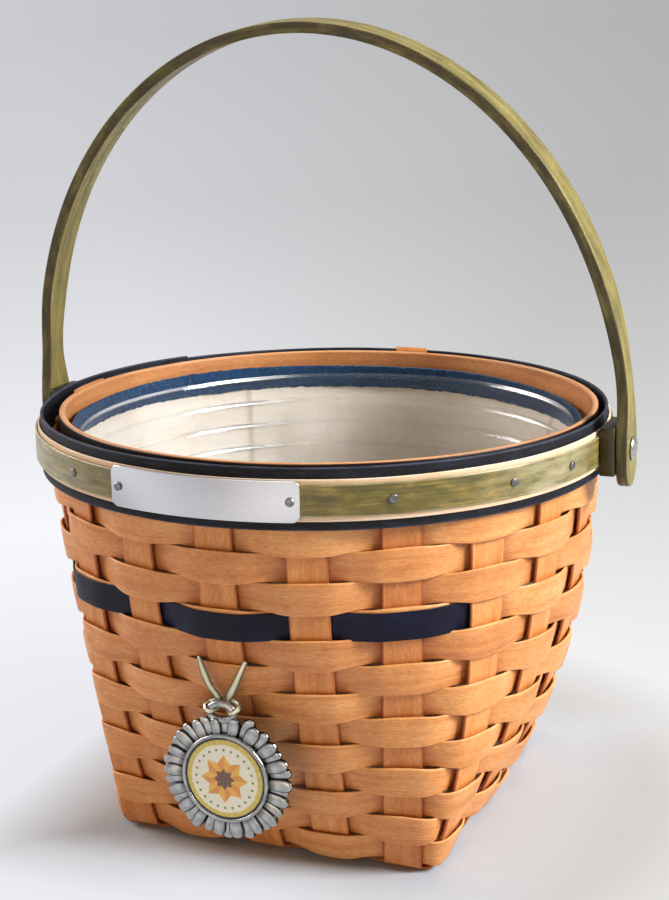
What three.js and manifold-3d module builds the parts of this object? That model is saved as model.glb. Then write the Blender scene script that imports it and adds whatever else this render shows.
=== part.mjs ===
// Splint basket: square woven base, round banded rim, swing handle, cloth liner, protector and pendant.
// Millimetres, +Z up, the front face looks along -Y and the handle ears stand on the X axis.
import * as THREE from 'three';
import { mergeVertices } from 'three/addons/utils/BufferGeometryUtils.js';
import Module from 'manifold-3d';

const wasm = await Module();
wasm.setup();

// Clearances
const GAP = 0.3;
const RUNNING = 0.35;
const CORNER_EASE = 0.65;
const WEAVE_EASE = 0.3;
const INNER_BAND_EASE = 1.5;
const OUTER_BAND_EASE = 0.5;

// Splints
const STAKE_WIDTH = 15.9;
const STAKE_THICK = 1.2;
const STAKES_PER_SIDE = 5;
const SIDES = 4;
const WEAVER_WIDTH = 12.7;
const WEAVER_THICK = 1.0;
const WEAVER_PINCH = 1.5;
const ROWS = 14;
const FIRST_ROW = 0.06;
const ROW_PITCH = 0.0656;
const ACCENT_ROW = 9;
const ACCENT_WIDTH = 10.6;
const ACCENT_THICK = 0.6;
const ACCENT_DROP = 0.3;

// Body
const BASE_HALF = 71;
const CORNER_SETBACK = 11;
const STAKE_TOP = 176;
const RIM_RADIUS = 114.6;
const SIDE_LEAN = 9;
const WALL_START = 0.02;
const WALL_STEPS = 10;

// Rim bands, from the inside to the outside
const BAND_STEP = 7.5;
const INNER_BAND_THICK = 2.6;
const NAVY_THICK = 1.2;
const NATURAL_THICK = 0.8;
const GREEN_THICK = 0.9;
const NAVY_WIDTH = 24;
const NAVY_PROUD = 0.8;
const NATURAL_WIDTH = 15.9;
const GREEN_WIDTH = 12.2;
const NAVY_LAP_START = -88;
const NAVY_LAP_SPAN = 52.5;
const NAVY_LAP_STEP_IN = 22.5;

// Handle, ears and rivets
const RIVET_HEAD_RADIUS = 4.9;
const RIVET_HEAD_RISE = 2.6;
const RIVET_SHANK_RADIUS = 2.3;
const EAR_WIDTH = 24;
const EAR_HEIGHT = 21;
const EAR_THICK = 5.6;
const HANDLE_THICK = 4.5;
const HANDLE_EYE_RADIUS = 9.8;
const HANDLE_EYE_DROP = 6.2;
const HANDLE_EYE_SWEEP = 84;
const HANDLE_EYE_STEPS = 4;
const HANDLE_NECK_RISE = 29;
const HANDLE_NECK_WIDTH = 11.5;
const HANDLE_BOW_WIDTH = 15;
const HANDLE_BOW_START = 11;
const HANDLE_BOW_HEIGHT = 157;
const HANDLE_BOW_STEPS = 48;
const HANDLE_LEAN = 6;

// Plate, tacks and nails
const PLATE_THICK = 0.8;
const PLATE_HEIGHT = 16;
const PLATE_CENTRE = -1.5;
const PLATE_SPAN = 36.5;
const PLATE_CORNER = 3;
const PLATE_STEPS = 8;
const TACK_INSET = 1.7;
const TACK_RADIUS = 1.7;
const TACK_RISE = 1;
const NAIL_RADIUS = 1.7;
const NAIL_RISE = 0.5;
const NAIL_SHANK_RADIUS = 0.6;
const NAIL_ANGLES = [-31, 33.5, 57.2, 73.2, 133, -133];

// Liner and protector
const LOFT_STEPS = 28;
const LINER_THICK = 1.2;
const LINER_INSET = 6;
const LINER_FULLNESS = 0.6;
const TRIM_WIDTH = 11;
const TRIM_DROP = 8.5;
const PROTECTOR_THICK = 1.2;
const PROTECTOR_BASE_EASE = 2;
const PROTECTOR_RIM_EASE = 2.3;
const PROTECTOR_DROP = 8;
const RIDGES = 3;
const RIDGE_DROP = 7.5;
const RIDGE_PITCH = 11;
const RIDGE_RISE = 0.8;

// Pendant and its cord
const PENDANT_X = 0.7;
const PENDANT_STANDOFF = 9.9;
const PENDANT_Z = 49.6;
const PETALS = 20;
const PETAL_POINTS = 3;
const PETAL_RADIUS = 26.3;
const PETAL_DEPTH = 0.13;
const PETAL_THICK = 1.4;
const FRONT_PETAL_SHARE = 0.9;
const BEZEL_OUTER = 18.6;
const BEZEL_INNER = 16.4;
const BEZEL_RISE = 1.6;
const INSERT_THICK = 0.6;
const INSERT_DOME = 0.7;
const BAIL_RADIUS = 3.9;
const BAIL_WIRE_RADIUS = 1.1;
const BAIL_SINK = 3.4;
const CORD_RADIUS = 1.6;
const CORD_SPREAD = 9.8;
const CORD_TOP = 98;
const CORD_STEPS = 22;

// Facets of round solids
const ROUND_STEPS = 20;
const SHANK_STEPS = 12;
const NAIL_STEPS = 6;
const CORD_SIDES = 8;

const part = new THREE.Group();
part.name = 'splint_basket';

const material = (color, roughness, metalness = 0) =>
  new THREE.MeshStandardMaterial({ color, roughness, metalness });
const MATERIALS = {
  maple: material(0xd9a066, 0.55),
  navy: material(0x23243a, 0.5),
  cream: material(0xe8cda6, 0.6),
  olive: material(0x7f7d3c, 0.5),
  darkOlive: material(0x4a4326, 0.55),
  steel: material(0xb9b9b6, 0.3, 1),
  pewter: material(0x8f8f8c, 0.45, 1),
  print: material(0xe2b23e, 0.4),
  clear: material(0xe9eef0, 0.1),
  cotton: material(0xd9c7a6, 0.95),
  denim: material(0x4a6486, 0.95),
  cord: material(0x8a8347, 0.9),
};

function addPiece(name, geometry, finish) {
  const mesh = new THREE.Mesh(geometry, MATERIALS[finish]);
  mesh.name = name;
  part.add(mesh);
}

// Directions: an angle is read from the front towards the right-hand ear
const radians = THREE.MathUtils.degToRad;
const UP = new THREE.Vector3(0, 0, 1);
const FULL_TURN = 360;
const bearing = (angle) => new THREE.Vector3(Math.sin(radians(angle)), -Math.cos(radians(angle)), 0);
const sideways = (angle) => new THREE.Vector3(Math.cos(radians(angle)), Math.sin(radians(angle)), 0);
const easeOut = (share) => 2 * share - share * share;

// Unions and cuts
function toManifold(geometry) {
  const bare = geometry.clone();
  bare.deleteAttribute('normal');
  bare.deleteAttribute('uv');
  const merged = mergeVertices(bare, 1e-4);
  return new wasm.Manifold(new wasm.Mesh({
    numProp: 3,
    vertProperties: new Float32Array(merged.getAttribute('position').array),
    triVerts: new Uint32Array(merged.getIndex().array),
  }));
}

function fromManifold(solid) {
  const mesh = solid.getMesh();
  const geometry = new THREE.BufferGeometry();
  geometry.setAttribute('position', new THREE.BufferAttribute(new Float32Array(mesh.vertProperties), 3));
  geometry.setIndex([...mesh.triVerts]);
  geometry.computeVertexNormals();
  return geometry;
}

function joined(geometries) {
  return fromManifold(geometries.map(toManifold).reduce((sum, next) => sum.add(next)));
}

function drilled(geometry, cutters) {
  const cut = (left, cutter) => left.subtract(toManifold(cutter));
  return fromManifold(cutters.reduce(cut, toManifold(geometry)));
}

// Closed skin over a row of stations, each a loop of points; a ring returns to its first station
function skin(stations, ring) {
  const corners = stations[0].length;
  const count = stations.length;
  const at = (station, corner) => (station % count) * corners + (corner % corners);
  const index = [];
  for (let s = 0; s < (ring ? count : count - 1); s++) {
    for (let c = 0; c < corners; c++) {
      index.push(at(s, c), at(s, c + 1), at(s + 1, c + 1));
      index.push(at(s, c), at(s + 1, c + 1), at(s + 1, c));
    }
  }
  for (let c = 1; c < corners - 1 && !ring; c++) {
    index.push(at(0, 0), at(0, c + 1), at(0, c));
    index.push(at(count - 1, 0), at(count - 1, c), at(count - 1, c + 1));
  }
  const geometry = new THREE.BufferGeometry();
  const positions = stations.flat().flatMap((point) => point.toArray());
  geometry.setAttribute('position', new THREE.Float32BufferAttribute(positions, 3));
  geometry.setIndex(index);
  geometry.computeVertexNormals();
  return geometry;
}

// Flat splint along a path: each stop has a point, the direction across the splint and its width there
function splint(stops, thickness, ring = false) {
  const count = stops.length;
  const heading = (from, to) => stops[to].point.clone().sub(stops[from].point).normalize();
  const stations = stops.map((stop, i) => {
    const before = ring ? (i + count - 1) % count : Math.max(i - 1, 0);
    const after = ring ? (i + 1) % count : Math.min(i + 1, count - 1);
    const outgoing = after === i ? heading(before, i) : heading(i, after);
    const incoming = before === i ? outgoing : heading(before, i);
    const tangent = incoming.clone().add(outgoing).normalize();
    const half = stop.across.clone().multiplyScalar(stop.width / 2);
    const mitre = Math.max(tangent.dot(outgoing), 0.5);
    const rise = tangent.cross(stop.across).normalize().multiplyScalar(thickness / 2 / mitre);
    return [
      stop.point.clone().sub(half).add(rise),
      stop.point.clone().sub(half).sub(rise),
      stop.point.clone().add(half).sub(rise),
      stop.point.clone().add(half).add(rise),
    ];
  });
  return skin(stations, ring);
}

// Wall of the basket: every stake climbs from the square base to the round rim and straightens as it goes;
// the left and right faces lean a little to the right on the way
const STAKE_COUNT = STAKES_PER_SIDE * SIDES;
const QUARTER = FULL_TURN / SIDES;
const RIM_STEP = FULL_TURN / STAKE_COUNT;
const MIDDLE = (STAKES_PER_SIDE - 1) / 2;
const BASE_PITCH = (BASE_HALF - CORNER_SETBACK) / MIDDLE;

function stakeCurve(side, place) {
  const foot = new THREE.Vector3((place - MIDDLE) * BASE_PITCH, -BASE_HALF, 0);
  foot.applyAxisAngle(UP, radians(side * QUARTER));
  const head = bearing(side * QUARTER + (place - MIDDLE) * RIM_STEP).multiplyScalar(RIM_RADIUS);
  head.setZ(STAKE_TOP);
  const bend = head.clone().setZ(STAKE_TOP / 2);
  const low = foot.clone().lerp(bend, 2 / 3);
  low.x += side % 2 === 0 ? 0 : SIDE_LEAN;
  return new THREE.CubicBezierCurve3(foot, low, head.clone().lerp(bend, 2 / 3), head);
}

function wallFrame(stake, share) {
  const side = Math.floor(stake / STAKES_PER_SIDE);
  const place = stake % STAKES_PER_SIDE;
  const curve = stakeCurve(side, place);
  const point = curve.getPointAt(share);
  const climb = curve.getTangentAt(share);
  const twist = (place - MIDDLE) * RIM_STEP * easeOut(point.z / STAKE_TOP);
  const outward = sideways(side * QUARTER + twist).cross(climb).normalize();
  const along = climb.clone().cross(outward).normalize();
  return { point, climb, outward, along };
}

// Stakes: one long splint runs down one face, through the plain-woven base and up the opposite face
const BASE_LOW = STAKE_THICK / 2;
const BASE_HIGH = BASE_LOW + STAKE_THICK + GAP;
const PLATEAU = STAKE_WIDTH / 2 + CORNER_EASE;

function baseStops(lengthwise, lane, across) {
  const offset = (lane - MIDDLE) * BASE_PITCH;
  const stops = [];
  for (let crossing = 0; crossing < STAKES_PER_SIDE; crossing++) {
    const even = (crossing + lane) % 2 === 0;
    const height = even === lengthwise ? BASE_LOW : BASE_HIGH;
    for (const edge of [-PLATEAU, PLATEAU]) {
      const run = (crossing - MIDDLE) * BASE_PITCH + edge;
      const point = lengthwise
        ? new THREE.Vector3(run, offset, height)
        : new THREE.Vector3(offset, run, height);
      stops.push({ point, across, width: STAKE_WIDTH });
    }
  }
  return stops;
}

function climbStops(stake, across) {
  const stops = [];
  for (let step = 0; step <= WALL_STEPS; step++) {
    const { point, along } = wallFrame(stake, WALL_START + ((1 - WALL_START) * step) / WALL_STEPS);
    const facing = along.multiplyScalar(Math.sign(along.dot(across)));
    stops.push({ point, across: facing, width: STAKE_WIDTH });
  }
  return stops;
}

function makeStake(lengthwise, lane) {
  const across = lengthwise ? new THREE.Vector3(0, 1, 0) : new THREE.Vector3(-1, 0, 0);
  const mirrored = STAKES_PER_SIDE - 1 - lane;
  const first = lengthwise ? 3 * STAKES_PER_SIDE + mirrored : lane;
  const last = lengthwise ? STAKES_PER_SIDE + lane : 2 * STAKES_PER_SIDE + mirrored;
  const stops = [
    ...climbStops(first, across).reverse(),
    ...baseStops(lengthwise, lane, across),
    ...climbStops(last, across),
  ];
  return splint(stops, STAKE_THICK);
}

// Weavers: each row passes outside one stake and inside the next
const WEAVE_OFFSET = (STAKE_THICK + WEAVER_THICK) / 2 + GAP + WEAVE_EASE;
const ACCENT_LAYER = WEAVER_THICK / 2 + GAP + ACCENT_THICK / 2;
const ACCENT_STAKES = Array.from(
  { length: STAKES_PER_SIDE + 2 },
  (_, i) => (i + STAKE_COUNT - 1) % STAKE_COUNT,
);
const passesOutside = (stake, row) => (stake + row) % 2 === 1;

function rowFrames(row) {
  const share = FIRST_ROW + row * ROW_PITCH;
  return Array.from({ length: STAKE_COUNT }, (_, stake) => wallFrame(stake, share));
}

function crossingStops(frame, layer, width) {
  return [-PLATEAU, PLATEAU].map((edge) => ({
    point: frame.point.clone().addScaledVector(frame.along, edge).addScaledVector(frame.outward, layer),
    across: frame.climb.clone().negate(),
    width,
  }));
}

function betweenStop(here, next, layer, width) {
  const leaving = here.point.clone().addScaledVector(here.along, PLATEAU);
  const arriving = next.point.clone().addScaledVector(next.along, -PLATEAU);
  const outward = here.outward.clone().add(next.outward).normalize();
  return {
    point: leaving.add(arriving).multiplyScalar(0.5).addScaledVector(outward, layer),
    across: here.climb.clone().add(next.climb).normalize().negate(),
    width,
  };
}

function makeWeaver(row) {
  const share = FIRST_ROW + row * ROW_PITCH;
  const corner = stakeCurve(0, 0);
  const above = corner.getPointAt(share + ROW_PITCH / 2);
  const pinched = above.distanceTo(corner.getPointAt(share - ROW_PITCH / 2)) - WEAVER_PINCH;
  const frames = rowFrames(row);
  const stops = [];
  frames.forEach((here, stake) => {
    const lined = row === ACCENT_ROW && ACCENT_STAKES.includes(stake);
    const inner = lined ? WEAVE_OFFSET + ACCENT_THICK + GAP : WEAVE_OFFSET;
    stops.push(...crossingStops(here, passesOutside(stake, row) ? WEAVE_OFFSET : -inner, WEAVER_WIDTH));
    stops.push(betweenStop(here, frames[(stake + 1) % STAKE_COUNT], 0, pinched));
  });
  return splint(stops, WEAVER_THICK, true);
}

// Accent strip: a second, thinner splint over one row of the front face, its ends tucked behind two stakes
function makeAccent() {
  const frames = rowFrames(ACCENT_ROW);
  frames.forEach((frame) => frame.point.addScaledVector(frame.climb, -ACCENT_DROP));
  const stops = [];
  ACCENT_STAKES.forEach((stake, i) => {
    const outer = WEAVE_OFFSET + ACCENT_LAYER;
    const inner = WEAVE_OFFSET - WEAVER_THICK / 2 + ACCENT_THICK / 2;
    const layer = passesOutside(stake, ACCENT_ROW) ? outer : -inner;
    stops.push(...crossingStops(frames[stake], layer, ACCENT_WIDTH));
    if (i < ACCENT_STAKES.length - 1) {
      stops.push(betweenStop(frames[stake], frames[ACCENT_STAKES[i + 1]], ACCENT_LAYER, ACCENT_WIDTH));
    }
  });
  return splint(stops, ACCENT_THICK);
}

// Heights and radii of the rim bands
const NAVY_TOP = STAKE_TOP + NAVY_PROUD;
const RIM_CENTRE = NAVY_TOP - NAVY_WIDTH / 2;
const WEAVE_DEPTH = WEAVE_OFFSET + WEAVER_THICK / 2;
const INNER_BAND_OUTER = RIM_RADIUS - WEAVE_DEPTH - INNER_BAND_EASE;
const INNER_BAND_INNER = INNER_BAND_OUTER - INNER_BAND_THICK;
const NAVY_LAP_INNER = RIM_RADIUS + WEAVE_DEPTH + OUTER_BAND_EASE;
const NAVY_INNER = NAVY_LAP_INNER + NAVY_THICK + GAP;
const NATURAL_INNER = NAVY_INNER + NAVY_THICK + GAP;
const GREEN_INNER = NATURAL_INNER + NATURAL_THICK + GAP;
const SEAT_RADIUS = GREEN_INNER + GREEN_THICK + GAP;

function bandStop(angle, radius, width, centre = RIM_CENTRE) {
  return { point: bearing(angle).multiplyScalar(radius).setZ(centre), across: UP, width };
}

function makeBand(inner, thickness, width, centre = RIM_CENTRE) {
  const stops = [];
  for (let angle = 0; angle < FULL_TURN; angle += BAND_STEP) {
    stops.push(bandStop(angle, inner + thickness / 2, width, centre));
  }
  return splint(stops, thickness, true);
}

// The navy band laps over its own end, which tucks in behind it
function makeNavyBand() {
  const stops = [];
  const length = FULL_TURN + NAVY_LAP_SPAN;
  for (let travel = 0; travel <= length; travel += BAND_STEP) {
    const tucked = THREE.MathUtils.smoothstep(travel, FULL_TURN - NAVY_LAP_STEP_IN, FULL_TURN - BAND_STEP);
    const radius = THREE.MathUtils.lerp(NAVY_INNER, NAVY_LAP_INNER, tucked) + NAVY_THICK / 2;
    stops.push(bandStop(NAVY_LAP_START - travel, radius, NAVY_WIDTH));
  }
  return splint(stops, NAVY_THICK);
}

// Round solids that stand on the rim: turned about the radial line at an angle
function turnedPin(profile, steps, angle) {
  const points = profile.map(([radius, height]) => new THREE.Vector2(radius, height));
  const geometry = new THREE.LatheGeometry(points, steps);
  geometry.rotateX(Math.PI);
  geometry.rotateZ(radians(angle));
  return geometry.translate(0, 0, RIM_CENTRE);
}

function rivetProfile(inner, seat) {
  const rise = (share) => seat + RIVET_HEAD_RISE * share;
  return [
    [0, inner],
    [RIVET_SHANK_RADIUS, inner],
    [RIVET_SHANK_RADIUS, seat],
    [RIVET_HEAD_RADIUS, seat],
    [RIVET_HEAD_RADIUS, rise(0.25)],
    [RIVET_HEAD_RADIUS * 0.72, rise(0.8)],
    [0, rise(1)],
  ];
}

function nailProfile(inner, seat, radius, rise) {
  return [
    [0, inner],
    [NAIL_SHANK_RADIUS, inner],
    [NAIL_SHANK_RADIUS, seat],
    [radius, seat],
    [radius * 0.8, seat + rise],
    [0, seat + rise],
  ];
}

const boreAt = (radius, reach, steps, angle) =>
  turnedPin([[0, 0], [radius, 0], [radius, reach], [0, reach]], steps, angle);

// Ears, rivets and handle
const EAR_FACE = SEAT_RADIUS + EAR_THICK;
const HANDLE_INNER = EAR_FACE + GAP;
const HANDLE_LEG = HANDLE_INNER + HANDLE_THICK / 2;
const RIVET_SEAT = HANDLE_INNER + HANDLE_THICK + GAP;
const EARS = { left: -QUARTER, right: QUARTER };

function makeEar(angle) {
  const reach = Math.asin(EAR_WIDTH / 2 / SEAT_RADIUS);
  const plan = new THREE.Shape();
  plan.moveTo(EAR_FACE, -EAR_WIDTH / 2);
  plan.lineTo(EAR_FACE, EAR_WIDTH / 2);
  plan.absarc(0, 0, SEAT_RADIUS, reach, -reach, true);
  const block = new THREE.ExtrudeGeometry(plan, { depth: EAR_HEIGHT, bevelEnabled: false, curveSegments: 3 });
  block.translate(0, 0, RIM_CENTRE - EAR_HEIGHT / 2);
  return block.rotateZ(radians(angle - QUARTER));
}

// The handle is wide at the eye, narrow at the neck and even over the bow
function handleWidth(rise) {
  const toNeck = THREE.MathUtils.smoothstep(rise, 0, HANDLE_NECK_RISE);
  const toBow = THREE.MathUtils.smoothstep(rise, HANDLE_NECK_RISE, 2 * HANDLE_NECK_RISE);
  const leg = THREE.MathUtils.lerp(2 * HANDLE_EYE_RADIUS, HANDLE_NECK_WIDTH, toNeck);
  return THREE.MathUtils.lerp(leg, HANDLE_BOW_WIDTH, toBow);
}

// Straight legs with round ends, a half-elliptical bow, and the whole handle leaning forward on its rivets
function makeHandle() {
  const across = new THREE.Vector3(0, 1, 0);
  const eye = [];
  for (let step = HANDLE_EYE_STEPS; step >= 0; step--) {
    const angle = radians((HANDLE_EYE_SWEEP * step) / HANDLE_EYE_STEPS);
    eye.push({
      height: -HANDLE_EYE_DROP - HANDLE_EYE_RADIUS * Math.sin(angle),
      width: 2 * HANDLE_EYE_RADIUS * Math.cos(angle),
    });
  }
  eye.push({ height: 0, width: 2 * HANDLE_EYE_RADIUS });
  const eyeStops = (x) =>
    eye.map(({ height, width }) => ({ point: new THREE.Vector3(x, 0, height), across, width }));
  const bow = [];
  for (let step = 0; step <= HANDLE_BOW_STEPS; step++) {
    const angle = Math.PI * (1 - step / HANDLE_BOW_STEPS);
    const rise = HANDLE_BOW_START + HANDLE_BOW_HEIGHT * Math.sin(angle);
    const point = new THREE.Vector3(HANDLE_LEG * Math.cos(angle), 0, rise);
    bow.push({ point, across, width: handleWidth(rise) });
  }
  const stops = [...eyeStops(-HANDLE_LEG), ...bow, ...eyeStops(HANDLE_LEG).reverse()];
  const upright = splint(stops, HANDLE_THICK);
  return upright.rotateX(radians(HANDLE_LEAN)).translate(0, 0, RIM_CENTRE);
}

// Plate bent to the rim, with rounded corners
const PLATE_EDGES = [PLATE_CENTRE - PLATE_SPAN / 2, PLATE_CENTRE + PLATE_SPAN / 2];

function makePlate() {
  const radius = SEAT_RADIUS + PLATE_THICK / 2;
  const half = radians(PLATE_SPAN / 2) * radius;
  const places = [];
  for (const angle of [0, 30, 60, 90]) {
    const run = PLATE_CORNER * (1 - Math.cos(radians(angle)));
    const inset = PLATE_CORNER * (1 - Math.sin(radians(angle)));
    places.push({ run: run - half, width: PLATE_HEIGHT - 2 * inset });
  }
  for (let step = 1; step < PLATE_STEPS / 2; step++) {
    places.push({ run: (half - PLATE_CORNER) * (2 * step / PLATE_STEPS - 1), width: PLATE_HEIGHT });
  }
  const mirrored = places.map(({ run, width }) => ({ run: -run, width })).reverse();
  const stops = [...places, { run: 0, width: PLATE_HEIGHT }, ...mirrored].map(({ run, width }) => {
    const angle = PLATE_CENTRE + THREE.MathUtils.radToDeg(run / radius);
    return bandStop(angle, radius, width);
  });
  return splint(stops, PLATE_THICK);
}

// Lofts inside the basket: square at the floor and round at the rim, a little slacker than the wall
function loftLoop(height, baseHalf, rimRadius) {
  const climbed = Math.min(height / LINER_TOP, 1);
  const blend = climbed * (1 + LINER_FULLNESS * (1 - climbed));
  const perSide = LOFT_STEPS / SIDES;
  return Array.from({ length: LOFT_STEPS }, (_, step) => {
    const side = Math.floor(step / perSide);
    const share = (2 * (step % perSide)) / perSide - 1;
    const square = new THREE.Vector3(share * baseHalf, -baseHalf, 0);
    square.applyAxisAngle(UP, radians(side * QUARTER));
    const round = bearing(side * QUARTER + (share * QUARTER) / 2).multiplyScalar(rimRadius);
    return square.lerp(round, blend).setZ(height);
  });
}

const TRIM_OUTER = INNER_BAND_INNER - GAP;
const LINER_FLOOR = BASE_HIGH + STAKE_THICK / 2 + GAP;
const LINER_BASE = BASE_HALF - LINER_INSET;
const TRIM_CENTRE = STAKE_TOP - TRIM_DROP - TRIM_WIDTH / 2;
const LINER_TOP = TRIM_CENTRE - TRIM_WIDTH / 2 - GAP;

function makeLiner() {
  const shares = [0, 0.15, 0.35, 0.6, 0.8, 1];
  const wall = (floor, inset) => shares.map((share) =>
    loftLoop(THREE.MathUtils.lerp(floor, LINER_TOP, share), LINER_BASE - inset, TRIM_OUTER - inset));
  return skin([...wall(LINER_FLOOR, 0), ...wall(LINER_FLOOR + LINER_THICK, LINER_THICK).reverse()], false);
}

function makeTrim() {
  return makeBand(TRIM_OUTER - LINER_THICK, LINER_THICK, TRIM_WIDTH, TRIM_CENTRE);
}

const PROTECTOR_FLOOR = LINER_FLOOR + LINER_THICK + GAP;
const PROTECTOR_BASE = LINER_BASE - LINER_THICK - PROTECTOR_BASE_EASE;
const PROTECTOR_RIM = TRIM_OUTER - LINER_THICK - PROTECTOR_RIM_EASE;
const PROTECTOR_TOP = STAKE_TOP - PROTECTOR_DROP;
const RIDGE_TOP = PROTECTOR_TOP - RIDGE_DROP;

function makeProtector() {
  const levels = [[PROTECTOR_TOP, 0]];
  for (let ridge = 0; ridge < RIDGES; ridge++) {
    levels.push([RIDGE_TOP - ridge * RIDGE_PITCH, 0]);
    levels.push([RIDGE_TOP - (ridge + 0.5) * RIDGE_PITCH, RIDGE_RISE]);
  }
  levels.push([RIDGE_TOP - RIDGES * RIDGE_PITCH, 0]);
  const plain = RIDGE_TOP - RIDGES * RIDGE_PITCH;
  levels.push([plain * 0.7, 0], [plain * 0.4, 0], [plain * 0.15, 0]);
  levels.reverse();
  const wall = (floor, inset) => [[floor, 0], ...levels].map(([height, rise]) =>
    loftLoop(height, PROTECTOR_BASE + rise - inset, PROTECTOR_RIM + rise - inset));
  const inside = wall(PROTECTOR_FLOOR + PROTECTOR_THICK, PROTECTOR_THICK).reverse();
  return skin([...wall(PROTECTOR_FLOOR, 0), ...inside], false);
}

// Pendant: two layers of petals, a bezel around the insert and a bail ring on top
const BAIL_Z = PETAL_RADIUS + BAIL_RADIUS - BAIL_SINK;
const BAIL_BAR_Z = PENDANT_Z + BAIL_Z + BAIL_RADIUS;
const PENDANT_BACK = stakeCurve(0, MIDDLE).getPoint(BAIL_BAR_Z / STAKE_TOP).y - PENDANT_STANDOFF;

function standing(geometry, forward) {
  return geometry.rotateX(Math.PI / 2).translate(PENDANT_X, PENDANT_BACK - forward, PENDANT_Z);
}

function petalLayer(radius, turn, forward) {
  const outline = new THREE.Shape();
  const points = Array.from({ length: PETALS * PETAL_POINTS }, (_, i) => {
    const swing = (Math.PI * i) / PETAL_POINTS;
    const reach = radius * (1 - PETAL_DEPTH * (1 - Math.abs(Math.sin(swing))));
    const angle = ((i / PETAL_POINTS + turn) * 2 * Math.PI) / PETALS;
    return new THREE.Vector2(reach * Math.cos(angle), reach * Math.sin(angle));
  });
  outline.setFromPoints(points);
  const layer = new THREE.ExtrudeGeometry(outline, { depth: PETAL_THICK, bevelEnabled: false });
  return standing(layer, forward);
}

function makePendantFrame() {
  const bezel = new THREE.Shape().absarc(0, 0, BEZEL_OUTER, 0, 2 * Math.PI, false);
  bezel.holes.push(new THREE.Path().absarc(0, 0, BEZEL_INNER, 0, 2 * Math.PI, true));
  const overlap = PETAL_THICK * 0.2;
  const face = 2 * PETAL_THICK - overlap;
  const depth = BEZEL_RISE + overlap;
  const ring = new THREE.ExtrudeGeometry(bezel, { depth, bevelEnabled: false, curveSegments: ROUND_STEPS });
  const bail = new THREE.TorusGeometry(BAIL_RADIUS, BAIL_WIRE_RADIUS, 6, 14);
  bail.translate(0, BAIL_Z, PETAL_THICK / 2);
  return joined([
    petalLayer(PETAL_RADIUS, 0, 0),
    petalLayer(PETAL_RADIUS * FRONT_PETAL_SHARE, 0.5, PETAL_THICK - overlap),
    standing(ring, face - overlap),
    standing(bail, 0),
  ]);
}

function makeInsert() {
  const radius = BEZEL_INNER - GAP;
  const seat = 2 * PETAL_THICK - PETAL_THICK * 0.2 + GAP;
  const top = seat + INSERT_THICK;
  const profile = [[0, seat], [radius, seat], [radius, top], [radius * 0.6, top + INSERT_DOME * 0.64]];
  profile.push([0, top + INSERT_DOME]);
  const disc = new THREE.LatheGeometry(profile.map(([x, y]) => new THREE.Vector2(x, y)), ROUND_STEPS);
  return standing(disc.rotateX(Math.PI / 2), 0);
}

// Cord: down from the weave, through the bail ring and up again behind it
function makeCord() {
  const bar = new THREE.Vector3(PENDANT_X, PENDANT_BACK - PETAL_THICK / 2, BAIL_BAR_Z);
  const wrap = BAIL_WIRE_RADIUS + CORD_RADIUS + 2 * GAP;
  const drop = CORD_TOP - bar.z;
  const from = (x, y, z) => bar.clone().add(new THREE.Vector3(x, y, z));
  const path = new THREE.CatmullRomCurve3([
    from(-CORD_SPREAD, wrap / 2, drop),
    from(-CORD_SPREAD * 0.45, -wrap * 0.8, drop * 0.5),
    from(-BAIL_WIRE_RADIUS / 2, -wrap, 0),
    from(0, 0, -wrap),
    from(BAIL_WIRE_RADIUS / 2, wrap, 0),
    from(CORD_SPREAD * 0.45, wrap, drop * 0.5),
    from(CORD_SPREAD, wrap / 2, drop),
  ]);
  const section = new THREE.Shape(Array.from({ length: CORD_SIDES }, (_, i) => {
    const angle = (2 * Math.PI * i) / CORD_SIDES;
    return new THREE.Vector2(CORD_RADIUS * Math.cos(angle), CORD_RADIUS * Math.sin(angle));
  }));
  return new THREE.ExtrudeGeometry(section, { steps: CORD_STEPS, bevelEnabled: false, extrudePath: path });
}

// Bores: the rivets go through the ears and the whole rim, the nails through the outer bands
const rivetBores = Object.values(EARS).map((angle) =>
  boreAt(RIVET_SHANK_RADIUS + GAP, 2 * RIM_RADIUS, SHANK_STEPS, angle));
const eyeBores = Object.values(EARS).map((angle) =>
  boreAt(RIVET_SHANK_RADIUS + RUNNING, 2 * RIM_RADIUS, SHANK_STEPS, angle));
const tackAngles = { left: PLATE_EDGES[0] + TACK_INSET, right: PLATE_EDGES[1] - TACK_INSET };
const nailBore = (angle) => boreAt(NAIL_SHANK_RADIUS + GAP, 2 * RIM_RADIUS, NAIL_STEPS, angle);
const tackBores = Object.values(tackAngles).map(nailBore);
const bandBores = [...rivetBores, ...tackBores, ...NAIL_ANGLES.map(nailBore)];

// Assembly
for (let lane = 0; lane < STAKES_PER_SIDE; lane++) {
  const lengthwise = makeStake(true, lane);
  const pierced = lane === MIDDLE;
  addPiece(`stake_lengthwise_${lane + 1}`, pierced ? drilled(lengthwise, rivetBores) : lengthwise, 'maple');
  addPiece(`stake_crosswise_${lane + 1}`, makeStake(false, lane), 'maple');
}
for (let row = 0; row < ROWS; row++) {
  const weaver = makeWeaver(row);
  const name = `weaver_row_${String(row + 1).padStart(2, '0')}`;
  const pierced = row === ROWS - 1;
  addPiece(name, pierced ? drilled(weaver, rivetBores) : weaver, 'maple');
}
addPiece('navy_accent_strip', makeAccent(), 'navy');
const innerBand = makeBand(INNER_BAND_INNER, INNER_BAND_THICK, NAVY_WIDTH);
addPiece('inner_band', drilled(innerBand, rivetBores), 'maple');
addPiece('navy_band', drilled(makeNavyBand(), bandBores), 'navy');
addPiece('natural_band', drilled(makeBand(NATURAL_INNER, NATURAL_THICK, NATURAL_WIDTH), bandBores), 'cream');
addPiece('green_band', drilled(makeBand(GREEN_INNER, GREEN_THICK, GREEN_WIDTH), bandBores), 'olive');
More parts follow.
